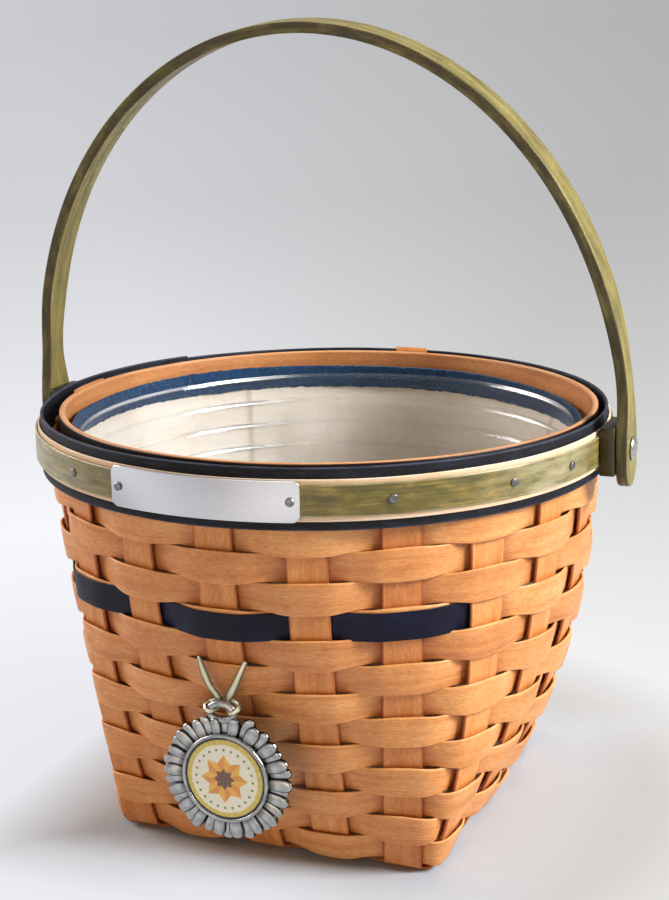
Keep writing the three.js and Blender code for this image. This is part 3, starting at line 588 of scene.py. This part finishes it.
def make_stake(lengthwise, lane):
    """One splint down one side, across the base over and under the others, and up the opposite side."""
    mirrored = PER_SIDE - 1 - lane
    first = 3 * PER_SIDE + mirrored if lengthwise else lane
    last = PER_SIDE + lane if lengthwise else 2 * PER_SIDE + mirrored
    down = climb_line(first, STAKE_END)
    up = climb_line(last, PROUD_END if last == PROUD_STAKE else STAKE_END)
    run = np.linspace(3.5 - BASE_HALF, BASE_HALF - 3.5, 84)
    parity = 1 if (lane % 2 == 0) == lengthwise else -1
    height = np.clip(1.35 - parity * 1.15 * np.cos(np.pi * (run + 2 * BASE_PITCH) / BASE_PITCH), 0.6, 2.1)
    offset = np.full_like(run, (lane - PER_SIDE // 2) * BASE_PITCH)
    base = np.stack([run, offset, height] if lengthwise else [offset, run, height], -1)
    below = np.tile([0.0, 0.0, -1.0], (len(run), 1))
    turn_down = fold_up(base[0], *down)
    turn_up = fold_up(base[-1], *up)
    path = np.concatenate([down[0][::-1], turn_down[0][::-1], base, turn_up[0], up[0]])
    outs = np.concatenate([down[1][::-1], turn_down[1][::-1], below, turn_up[1], up[1]])
    stations = sweep(path, outs, plank(STAKE_WIDTH + rng.normal() * 0.15, STAKE_THICK, 0.4))
    # Darker round edges: a painted shade along each stake's sides.
    tone = np.full(stations.shape[:2], rng.normal() * 0.08 - 0.05) + edge_tone(stations, -0.55)
    name = f"stake_{'lengthwise' if lengthwise else 'crosswise'}_{lane + 1}"
    Skin().loft(stations, tone=tone).piece(name + "_splint", "maple_stake", STAKE_WOOD, name)


# Weavers: each row passes outside one stake and inside the next
STEPS, DIVE = 20, 0.27
BULGE, TOP_BULGE = 2.3, 1.1


def row_line(row, outer, inner, lined_inner, drop=0.0):
    """Closed line of a row, with its outward directions, its flatness and how deep it lies inside."""
    frames = [stake.at(ROW_SHARES[row]) for stake in STAKES]
    frames = [(p[0] - c[0] * drop, c[0], o[0]) for p, c, o in frames]
    t = np.linspace(0, 1, STEPS, endpoint=False)[:, None]
    line, outs, flats, depths = [], [], [], []
    lift = rng.normal(size=STAKE_COUNT + 1) * 0.18
    lift[-1] = lift[0]
    for n in range(STAKE_COUNT):
        (p0, c0, o0), (p1, c1, o1) = frames[n], frames[(n + 1) % STAKE_COUNT]
        a0, a1 = np.cross(c0, o0), np.cross(c1, o1)
        turn = math.acos(np.clip(a0 @ a1, -1, 1)) / (math.pi / 2)
        reach = np.linalg.norm(p1 - p0) * (1 / 3 + 0.37 * turn * turn)
        point, ahead = bezier(t, p0, p0 + a0 * reach, p1 - a1 * reach, p1)
        climb = unit(c0 * (1 - t) + c1 * t)
        out = unit(np.cross(ahead, climb))
        start, end = (outer if (k + row) % 2 else -(lined_inner if k in ACCENT_STAKES else inner)
                      for k in (n, (n + 1) % STAKE_COUNT))
        phase = (0.5 - t) / DIVE
        phase /= (1 + phase ** 6) ** (1 / 6)
        offset = (start + end) / 2 + (start - end) / 2 * phase
        line.append(point + out * offset + climb * (lift[n] * (1 - smooth(t)) + lift[n + 1] * smooth(t)))
        outs.append(out)
        flats.append(phase[:, 0] ** 2)
        depths.append((outer - offset[:, 0]) / (outer + inner))
    return [np.concatenate(part) for part in (line, outs, flats, depths)]


def make_weaver(row):
    bulge = BULGE if row < ROWS - 1 else TOP_BULGE
    lined = bulge + 0.5 if row == ACCENT_ROW else bulge
    line, outs, flatness, depth = row_line(row, bulge, bulge, lined)
    pitch = STAKES[0].length * ROW_PITCH
    widths = (pitch + 0.1) + (WEAVER_WIDTH - pitch + 0.8) * flatness
    stations = sweep(line, outs, np.stack([plank(w, WEAVER_THICK, 0.34, 0.16) for w in widths]), True)
    tone = np.full(stations.shape[:2], rng.normal() * 0.10 - 0.12)
    # Paler edges, the upper one more: partly wear, partly a painted highlight where light falls from above.
    tone[:, RIGHT_EDGE] += 0.30
    tone[:, LEFT_EDGE] += 0.15
    # Painted shade where the weaver lies deep, diving in behind a stake.
    tone -= 0.3 * smooth((depth - 0.6) / 0.4)[:, None]
    name = f"weaver_row_{row + 1:02d}"
    Skin().loft(stations, True, tone).piece(name + "_splint", "maple_weaver", WEAVER_WOOD, name)


def make_accent():
    line, outs, *_ = row_line(ACCENT_ROW, BULGE + 0.95, 1.15, 1.15, drop=0.5)
    first, last = (ACCENT_STAKES[0] - STAKE_COUNT) * STEPS - 6, ACCENT_STAKES[-1] * STEPS + 6
    pick = np.arange(first, last) % len(line)
    sections = plank(ACCENT_WIDTH, ACCENT_THICK, 0.22, 0.06)
    Skin().loft(sweep(line[pick], outs[pick], sections)).piece(
        "navy_accent_splint", "navy_weaver", ACCENT_WOOD, "navy_accent_strip")


# Rim bands
def hoop(angles, radius, bottom, top, thick, edge=0.35, uneven=0.12):
    """Stations of a band, with slightly uneven edges."""
    low = bottom + ripple(angles, uneven)
    high = top + ripple(angles, uneven)
    outs = bearing(angles)
    path = outs * np.reshape(radius, (-1, 1))
    path[:, 2] = (low + high) / 2
    sections = np.stack([plank(w, thick, edge) for w in high - low])
    return path, outs, sections


ROUND = np.arange(0, 360, 1.25)
RIM_SHIFT = 1.5


def make_band(node, material, inner, thick, bottom, top, wear_and_painted_light=0.0):
    """A plain closed band, painted paler at the front's two ends by the given share, a painted sheen."""
    path, outs, sections = hoop(ROUND, inner + thick / 2, bottom, top, thick)
    stations = sweep(path, outs, sections, True)
    # Paler patches at the front's two ends: a painted sheen.
    painted_sheen = np.exp(-((ROUND - 312) / 22) ** 2) + np.exp(-((ROUND - 68) / 14) ** 2)
    Skin().loft(stations, True, edge_tone(stations, 0.5) + wear_and_painted_light * painted_sheen[:, None]).piece(
        node + "_splint", node, material, node)


def make_inner_band():
    """The inner band laps over its own end with a feathered step; its outer face is painted near black, a
    painted shade for the narrow gap behind the navy band.
    """
    skin = Skin()
    path, outs, sections = hoop(ROUND, INNER_BAND_RADIUS, BAND_LOW, BAND_HIGH, INNER_BAND_THICK, 0.5, 0.10)
    path += outs * 1.3 * np.exp(-((ROUND[:, None] - 90) / 40) ** 2)
    path[:, 0] += RIM_SHIFT
    stations = sweep(path, outs, sections, True)
    tone = edge_tone(stations, 0.3)
    # Painted shade: the outer face, in the gap, takes the near-black shade colour.
    tone[OUTER_FACE] = -1.0
    skin.loft(stations, True, tone)
    angles = np.linspace(-94, -80, 16)
    thin = smooth((angles + 95) / 10)
    path = bearing(angles) * np.reshape(INNER_BAND_RADIUS + 0.8 - 0.2 * thin, (-1, 1))
    path += [RIM_SHIFT, 0, RIM_CENTRE + 0.4]
    sections = np.stack([plank(BAND_HIGH - BAND_LOW + 0.6 + 0.2 * t, 0.5 + 1.2 * t, 0.2) for t in thin])
    skin.loft(sweep(path, bearing(angles), sections))
    skin.piece("inner_band_splint", "maple_band", INNER_WOOD, "inner_band")


def make_navy_band():
    """The navy band laps over its own end, which tucks in behind it and stands a little higher."""
    travel = np.arange(0, 397.5, 1.25)
    tucked = smooth((travel - 337) / 20)
    path, outs, sections = hoop(-88.0 - travel, NAVY_BAND_RADIUS - 1.5 * tucked, BAND_LOW,
                                BAND_HIGH + 1.1 * tucked, NAVY_BAND_THICK, 0.4)
    stations = sweep(path, outs, sections)
    # Paler blue-grey edges: partly wear, partly a painted sheen.
    Skin().loft(stations, tone=edge_tone(stations, 0.6)).piece(
        "navy_band_splint", "navy_band", NAVY_WOOD, "navy_band")


# Ears, rivets, nails, tacks and plate
def make_ear(name, side):
    depth = EAR_HALF_DEPTH
    reach = math.asin(depth / SEAT_RADIUS)
    arc = np.linspace(-reach, reach, 9)
    back = np.stack([SEAT_RADIUS * np.cos(arc), SEAT_RADIUS * np.sin(arc)], -1)
    corner = np.array([[EAR_FACE - 0.9, depth], [EAR_FACE - 0.25, depth - 0.3], [EAR_FACE, depth - 1.0]])
    front = np.concatenate([corner, [[EAR_FACE, 0.0]], corner[::-1] * [1, -1]])
    plan = np.concatenate([back, front])
    if side < 0:
        plan = plan[::-1]
    middle = np.array([(SEAT_RADIUS + EAR_FACE) / 2, 0])
    rounded = [(EAR_HALF_HEIGHT, 0.90), (EAR_HALF_HEIGHT - 0.4, 0.97), (EAR_HALF_HEIGHT - 1.2, 1), (4, 1)]
    stations = []
    for height, shrink in [(-h, s) for h, s in rounded] + rounded[::-1]:
        ring = middle + (plan - middle) * shrink
        level = np.full(len(ring), RIM_CENTRE + height)
        stations.append(np.stack([side * ring[:, 0], ring[:, 1], level], -1))
    tone = np.array([0.9, 0.8, 0.2, 0, 0, 0.2, 0.8, 0.9])[:, None]
    Skin().loft(np.array(stations), tone=tone).piece(name + "_block", "ear_wood", EAR_WOOD, name)


def dome(radius, rise):
    return [(radius * math.cos(a), rise * math.sin(a)) for a in np.linspace(0, np.pi / 2, 7)]


def make_rivet(name, side):
    low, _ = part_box("rivet_right")
    inner, seat = low[0] / MM, EAR_FACE + HANDLE_THICK + 0.6
    profile = [(0, inner), (RIVET_SHANK - 0.2, inner), (RIVET_SHANK, inner + 0.3), (RIVET_SHANK, seat)]
    profile += [(RIVET_RADIUS - 0.5, seat), (RIVET_RADIUS - 0.05, seat + 0.12), (RIVET_RADIUS, seat + 0.5)]
    profile += [(r, seat + 0.55 + h) for r, h in dome(RIVET_RADIUS - 0.2, 1.2)]
    stations = lathe(profile, np.array([0, 0, RIM_CENTRE]), (side, 0, 0), 40)
    Skin().loft(stations).piece(name + "_head", "rivet_steel", STEEL, name)


def make_pin(node, angle, rise, seat, flat):
    """A nail with a flat head or a tack with a domed one, pointing at the middle of the rim."""
    wide, top = PIN_RADIUS, seat + rise
    profile = [(0, PIN_INNER), (PIN_SHANK, PIN_INNER), (PIN_SHANK, seat)]
    profile += [(wide * 0.94, seat), (wide, seat + rise * 0.3)]
    if flat:
        profile += [(wide * 0.93, seat + rise * 0.75), (wide * 0.8, top), (wide * 0.3, top), (0, top)]
    else:
        profile += [(r, seat + rise * 0.3 + h) for r, h in dome(wide * 0.96, rise * 0.7)]
    stations = lathe(profile, np.array([0, 0, RIM_CENTRE]), bearing(np.array(float(angle))), 28)
    Skin().loft(stations).piece(node + "_head", "nail_steel", NAIL_METAL, node)


def make_plate():
    radius, corner = SEAT_RADIUS + PLATE_THICK / 2, 3.0
    half = math.radians(PLATE_SPAN / 2) * radius
    end = half - corner * (1 - np.cos(np.radians(np.linspace(4, 90, 10))))
    run = np.concatenate([-end, np.linspace(corner - half, half - corner, 50)[1:-1], end[::-1]])
    over = np.clip(np.abs(run) - (half - corner), 0, corner)
    height = PLATE_HEIGHT - 2 * (corner - np.sqrt(np.maximum(corner ** 2 - over ** 2, 0)))
    angles = PLATE_TURN + np.degrees(run / radius)
    path = bearing(angles) * radius + [0, 0, RIM_CENTRE]
    sections = np.stack([plank(h, PLATE_THICK, 0.22) for h in height])
    Skin().loft(sweep(path, bearing(angles), sections)).piece(
        "name_plate_bare", "plate_metal", PLATE_METAL, "name_plate")


# Handle: a bent bow with round eyes, leaning forward on its rivets
def handle_width(rise):
    leg = 2 * EYE_RADIUS + (NECK_WIDTH - 2 * EYE_RADIUS) * smooth(rise / NECK_RISE)
    return leg + (BOW_WIDTH - leg) * smooth((rise - NECK_RISE) / NECK_RISE)


def make_handle():
    turn = np.radians(np.linspace(84, 0, 14))
    rise = np.concatenate([-EYE_DROP - EYE_RADIUS * np.sin(turn), np.linspace(-EYE_DROP, BOW_START, 8)[1:]])
    left = np.stack([np.full_like(rise, -HANDLE_LEG), 0 * rise, rise], -1)
    left_width = np.concatenate([2 * EYE_RADIUS * np.cos(turn), handle_width(rise[len(turn):])])
    angle = np.linspace(np.pi, 0, 141)[1:-1]
    bow = np.stack([HANDLE_LEG * np.cos(angle), 0 * angle, BOW_START + BOW_HEIGHT * np.sin(angle)], -1)
    bow_out = unit(np.stack([BOW_HEIGHT * np.cos(angle), 0 * angle, HANDLE_LEG * np.sin(angle)], -1))
    path = np.concatenate([left, bow, (left * [-1, 1, 1])[::-1]])
    left_out = np.tile([-1.0, 0, 0], (len(left), 1))
    outs = np.concatenate([left_out, bow_out, -left_out])
    bow_width = handle_width(bow[:, 2]) + 0.25 * np.sin(3 * angle + 1) * np.sin(angle)
    width = np.concatenate([left_width, bow_width, left_width[::-1]])
    tilt = np.array(Matrix.Rotation(math.radians(HANDLE_LEAN), 3, "X"))
    sections = np.stack([board(w, HANDLE_THICK, min(0.55, w / 6)) for w in width])
    stations = sweep(path @ tilt.T + [0, 0, RIM_CENTRE], outs @ tilt.T, sections)
    # The narrow sides take the dark edge colour: partly stain, partly painted shade.
    tone = np.zeros(stations.shape[1])
    tone[BOARD_RIGHT] = tone[BOARD_LEFT] = 0.9
    Skin().loft(stations, tone=tone).piece("handle_bow", "handle_wood", HANDLE_WOOD, "handle", "handle")


# Liner, trim and protector: square at the floor, round at the rim
def loft_radius(height, angle, base_half, rim_radius, power):
    """Radius at one height: a square with rounded corners at the floor turns into a circle at the rim."""
    climbed = min(height / LINER_TOP, 1)
    blend = climbed * (1 + LINER_FULLNESS * (1 - climbed))
    local = np.radians((angle + 45) % 90 - 45)
    square = base_half / (np.abs(np.cos(local)) ** power + np.abs(np.sin(local)) ** power) ** (1 / power)
    return square * (1 - blend) + rim_radius * blend


def shell(levels, angle, thick, radius_of):
    """Closed cup: outer wall up, over the rim and down the inner wall; the floor closes both ends."""
    rows = []
    for inset, order in ((0.0, levels), (thick, levels[::-1])):
        for height in order:
            ring = bearing(angle) * (radius_of(height, angle) - inset)[:, None]
            ring[:, 2] = height + (thick if inset and height == levels[0] else 0)
            rows.append(ring)
    first, last = rows[0] * [0.5, 0.5, 1], rows[-1] * [0.5, 0.5, 1]
    return np.array([first, *rows, last])


SEAM = 42.8


def liner_radius(height, angle):
    """Four slack panels that meet in a crease at each corner and end behind the trim."""
    corner = np.abs((angle % 90) - SEAM)
    crease = 1.5 * np.exp(-corner / 5) - 0.7
    turn = np.radians(angle)
    fold = 0.60 * np.sin(7 * turn + 0.7 + height / 40) + 0.55 * np.sin(17 * turn - height / 23)
    fold += 0.25 * np.sin(31 * turn + 1.4 + height / 15)
    slack = smooth(height / 40) * smooth((155 - height) / 25)
    drape = (crease + np.minimum(fold, 0.5) * 0.9) * slack
    under_trim = 1.4 * smooth((height - 153.0) / 3.6)
    return loft_radius(height, angle, LINER_BASE, LINER_RIM, 14) + drape + under_trim


def make_liner():
    levels = np.concatenate([[3.1, 4.2, 6.0], np.linspace(10, 164, 45)])
    stations = shell(levels, ROUND, LINER_THICK, liner_radius)
    stations[..., 0] += RIM_SHIFT * smooth((stations[..., 2] - 90) / 60)
    seam = np.exp(-((ROUND % 90 - SEAM) / 0.7) ** 2)
    liner = Skin().loft(stations, tone=-0.6 * seam).piece(
        "liner_cloth", "liner_cotton", COTTON, "liner")
    trim = make_trim()


def make_trim():
    angles = np.arange(0, 360, 0.75)
    turn = np.radians(angles)
    low = TRIM_LOW + 1.6 * np.sin(turn + 3.6) + 0.2 * np.sin(3 * turn) + 0.2 * rng.normal(size=len(angles))
    high = TRIM_HIGH + 1.2 * np.sin(turn + 3.6) + 0.3 * np.sin(5 * turn) + 0.1 * rng.normal(size=len(angles))
    radius = TRIM_RADIUS + 0.25 * np.sin(9 * turn) + 0.12 * np.sin(23 * turn)
    path = bearing(angles) * radius[:, None]
    path[:, 0] += RIM_SHIFT
    path[:, 2] = (low + high) / 2
    sections = np.stack([plank(w, TRIM_THICK, 0.45, 0.1) for w in high - low])
    return Skin().loft(sweep(path, bearing(angles), sections, True), True).piece(
        "liner_trim_denim", "denim", DENIM, "liner_trim")


RIDGES = (155.0, 144.0, 133.0)


def make_protector():
    levels = np.concatenate([[4.6, 5.2, 7.0, 10.0], np.linspace(16, 124, 24), np.arange(126, 165, 0.75),
                             [165.4, 166.0, 166.5, 166.9, 167.2, 167.5]])

    def ridge(height):
        return sum(np.cos(np.pi * np.clip((height - middle) / 2.6, -0.5, 0.5)) ** 2 for middle in RIDGES)

    def radius_of(height, angle):
        tuck = 1.0 if height < 5 else 0.3 if height < 6 else 0.0
        flare = 0.7 * smooth((height - 165.6) / 1.2)
        return loft_radius(height, angle, CUP_BASE, CUP_RIM, 10) + 0.9 * ridge(height) - tuck + flare

    angle = np.arange(0, 360, 1.875)
    stations = shell(levels, angle, CUP_THICK, radius_of)
    heights = stations[:, :1, 2].copy()
    up = smooth((heights - 120) / 46)
    stations[..., 2] += up * (0.9 * np.sin(np.radians(angle)) - 0.3)
    stations[..., 0] += 0.8 * up
    # Painted highlight on rim and ridges: strongest near the corners, with more on the rim at the left.
    corner = np.exp(-(((angle % 90) - 45) / np.where(angle < 180, 14, 10)) ** 2)
    rim = smooth((heights - 165.8) / 0.7)
    near_left = 0.3 * np.exp(-((angle - 262) / 24) ** 2)
    tone = rim * (0.08 + 0.9 * corner + near_left) + ridge(heights) * (0.06 + 0.94 * corner)
    Skin().loft(stations, tone=np.minimum(tone, 1)).piece(
        "protector_clear", "clear_plastic", CLEAR, "protector", "protector")


# Pendant: two layers of petals round a bezel with a domed print
FRONT = np.array([0, -1.0, 0])


def petal(skin, angle, tip, half_width, back):
    """A flat tongue with a round end and steep dark sides."""
    share = np.array([0, 0.25, 0.45, 0.6, 0.72, 0.82, 0.89, 0.94, 0.975, 0.995])
    radius = PETAL_START + (tip - PETAL_START) * share
    past = np.clip(radius - (tip - 1.5 * half_width), 0, None) / (1.5 * half_width)
    half = half_width * np.clip(1 - past ** 3, 0.01, 1) ** 0.55
    half *= 0.66 + 0.34 * smooth((radius - PETAL_START) / 8)
    across = np.array([-1, -0.84, -0.6, 0, 0.6, 0.84, 1, 0.6, 0, -0.6])
    rise = np.array([0.1, 0.80, 0.97, 1.0, 0.97, 0.80, 0.1, 0, 0, 0]) * (1 + 0.16 * rng.normal() * across)
    shade = np.array([-1, -0.9, 0, 0, 0, -0.9, -1, -1, -1, -1])
    side = np.array([math.cos(angle), 0, -math.sin(angle)])
    up = np.array([math.sin(angle), 0, math.cos(angle)])
    lift = PETAL_THICK * np.sqrt(np.clip(1 - 0.85 * np.clip((radius - tip + 1.1) / 1.1, 0, 1) ** 2, 0, 1))
    middle = PENDANT + up * radius[:, None] + FRONT * back
    stations = (middle[:, None] + side * (half[:, None] * across)[..., None]
                + FRONT * (lift[:, None] * rise)[..., None])
    tone = np.minimum(shade, -0.9 * smooth((19.4 - radius) / 1.8)[:, None])
    skin.loft(PENDANT + (stations - PENDANT) * [1.04, 1, 0.98], tone=tone)


def make_pendant():
    skin = Skin()
    plate = [(0, 0), (21.6, 0.0), (22.0, 0.2), (22.0, 0.7), (21.4, 0.9), (0, 0.9)]
    skin.loft(lathe(plate, PENDANT, FRONT, 64), tone=-0.95)
    for reach, shift, half_width, back in ((26.0, 0.0, 2.8, 0.3), (25.6, 0.5, 2.95, 1.2)):
        for k in range(PETALS):
            angle = 2 * math.pi * (k + shift + 0.05 * rng.normal()) / PETALS
            wide = half_width * (1 + 0.12 * rng.normal())
            petal(skin, angle, reach + 0.45 * rng.normal(), wide, back)
    turn = full_turn(20)
    ring = full_turn(96)
    outs = np.stack([np.cos(ring), 0 * ring, np.sin(ring)], -1)
    bezel = np.stack([PENDANT + outs * (BEZEL_RADIUS + 0.85 * math.cos(a))
                      + FRONT * (2.9 + 1.25 * math.sin(a)) for a in turn], 1)
    skin.loft(bezel, True, tone=np.where(np.sin(turn) < -0.3, -0.8, 0.0))
    wide, tall = BAIL_HALF
    oval = outs[::2] * [wide, 0, tall] + BAIL_BAR - [0, 0, tall]
    oval_out = unit(outs[::2] * [tall, 0, wide])
    wire = np.stack([oval + BAIL_WIRE * (oval_out * math.cos(a) + FRONT * math.sin(a)) for a in turn], 1)
    skin.loft(wire, True)
    skin.piece("pendant_petals", "pewter", PEWTER, "pendant_frame", "pendant")
    insert = Skin()
    profile = [(0, 2.85), (16.3, 2.85), (PRINT_RADIUS, 3.1)]
    profile += [(16.55 * math.cos(a), 3.2 + 0.9 * math.sin(a)) for a in np.linspace(0.1, np.pi / 2, 12)]
    insert.loft(lathe(profile, PENDANT, FRONT, 72))
    disc = insert.piece("pendant_star_print", "printed_disc", STAR, "pendant_insert", "pendant")
    spots = (np.concatenate(insert.points) - PENDANT)[:, [0, 2, 1]] / PRINT_RADIUS * [1, 1, 0]
    spot = disc.data.attributes.new("spot", "FLOAT_VECTOR", "POINT")
    spot.data.foreach_set("vector", spots.astype(np.float32).ravel())


# Floor, world and lamps
FLOOR_HALF, LAMP_AIM = 30.0, Vector((0, 0, 0.12))
WORLD_TINT, WORLD_STRENGTH = (1.0, 0.85, 0.70, 1.0), 0.17
FLOOR_LOW, FLOOR_HIGH = rgb(190, 196, 203), rgb(196, 201, 207)
LEFT_FAR, RIGHT_FAR = rgb(202, 203, 208), rgb(178, 178, 178)


def make_floor():
    """A pale floor that shades off into the backdrop and, seen directly, shows its own colour."""
    mesh = bpy.data.meshes.new("floor")
    corners = [(x * FLOOR_HALF, y * FLOOR_HALF, 0) for x, y in ((-1, -1), (1, -1), (1, 1), (-1, 1))]
    mesh.from_pydata(corners, [], [(0, 1, 2, 3)])
    floor = add_object("floor", mesh)
    paper = Surface("floor_paper", specular_ior_level=0.1, roughness=0.9)
    place = paper.put("TexCoord").outputs["Object"]
    distance = paper.put("VectorMath", place, operation="LENGTH").outputs["Value"]
    near = paper.math("DIVIDE", 0.7, paper.plus(distance, 0.7))
    # Nearest the basket both ramps darken again; on the left this is a painted soft shadow.
    left = paper.ramp(near, (0.0, LEFT_FAR), (0.21, rgb(211, 212, 216)), (0.40, rgb(229, 230, 234)),
                      (0.60, rgb(249, 250, 253)), (0.83, rgb(236, 236, 241)))
    right = paper.ramp(near, (0.0, RIGHT_FAR), (0.21, rgb(188, 188, 188)), (0.40, rgb(204, 204, 204)),
                       (0.77, rgb(243, 243, 243)), (0.83, rgb(216, 210, 206)))
    pale = paper.mix(towards_right(paper, place), left, right)
    fibre = paper.noise(place, 60)
    paper.finish(paper.mix(paper.span(fibre, 0.3, 0.7), FLOOR_LOW, FLOOR_HIGH))
    off = paper.put("VectorMath", place, operation="ABSOLUTE").outputs["Vector"]
    beside = paper.math("MAXIMUM", *paper.put("SeparateXYZ", off).outputs[:2])
    share = paper.plus(paper.span(beside, 0.078, 0.130, 0.0, 0.94), paper.span(distance, 0.5, 4.0, 0.0, 0.06))
    glow = paper.put("Emission", pale).outputs[0]
    paper.blend(paper.times(seen_directly(paper), share), paper.shader.outputs[0], glow)
    mesh.materials.append(paper.material)


def make_world():
    world = bpy.data.worlds.new("world")
    world.use_nodes = True
    sky = Nodes(world.node_tree)
    light = sky.tree.nodes["Background"]
    light.inputs["Color"].default_value = WORLD_TINT
    light.inputs["Strength"].default_value = WORLD_STRENGTH
    side = towards_right(sky, sky.put("TexCoord").outputs["Generated"])
    far = sky.put("Background", sky.mix(side, LEFT_FAR, RIGHT_FAR))
    sky.blend(seen_directly(sky), light.outputs[0], far.outputs[0])
    bpy.context.scene.world = world


def towards_right(nodes, place):
    """0 for places behind the basket and left of it, 1 for places right of it."""
    way = nodes.put("VectorMath", place, operation="NORMALIZE").outputs["Vector"]
    side = nodes.put("VectorMath", way, (0.93, 0.37, 0.0), operation="DOT_PRODUCT").outputs["Value"]
    return nodes.span(side, -0.17, 0.20)


def seen_directly(nodes):
    """1 for rays from the camera, from a glossy surface or through a clear one."""
    rays = nodes.put("LightPath").outputs
    mirrored = nodes.math("MAXIMUM", rays["Is Glossy Ray"], rays["Is Transmission Ray"])
    return nodes.math("MAXIMUM", rays["Is Camera Ray"], mirrored)


def lamp(name, azimuth, elevation, distance, size, power, tint=(1, 1, 1)):
    away = direction(azimuth, elevation)
    data = bpy.data.lights.new(name, "AREA")
    data.shape, data.size, data.energy, data.color = "SQUARE", size, power, tint
    light = add_object(name, data)
    light.location = LAMP_AIM + away * distance
    light.rotation_mode = "QUATERNION"
    light.rotation_quaternion = away.to_track_quat("Z", "Y")


make_camera()
make_cord()
for lane in range(PER_SIDE):
    make_stake(True, lane)
    make_stake(False, lane)
for row in range(ROWS):
    make_weaver(row)
make_accent()
make_inner_band()
make_navy_band()
make_band("natural_band", CREAM_WOOD, **NATURAL_BAND)
make_band("green_band", GREEN_WOOD, **GREEN_BAND, wear_and_painted_light=0.55)
SIDES = (("left", -1), ("right", 1))
for name, side in SIDES:
    make_ear("ear_" + name, side)
    make_rivet("rivet_" + name, side)
make_plate()
for name, side in SIDES:
    tack_angle = PLATE_TURN + side * (PLATE_SPAN / 2 - TACK_INSET)
    make_pin("plate_tack_" + name, tack_angle, 1.0, SEAT_RADIUS + 1.1, flat=False)
for k, angle in enumerate(NAIL_ANGLES, 1):
    make_pin(f"band_nail_{k}", angle, 0.5, SEAT_RADIUS, flat=True)
make_handle()
make_liner()
make_protector()
make_pendant()
make_floor()
make_world()
lamp("key", 92, 30, 1.7, 0.6, 45, (0.96, 1.0, 1.04))
lamp("left", -92, 26, 1.9, 0.9, 26, (1.0, 0.98, 0.97))
lamp("front", -4, 3, 2.0, 1.2, 10, (1.0, 0.76, 0.50))
lamp("top", 120, 78, 1.9, 1.0, 10)
bpy.context.scene.view_settings.view_transform = "Standard"
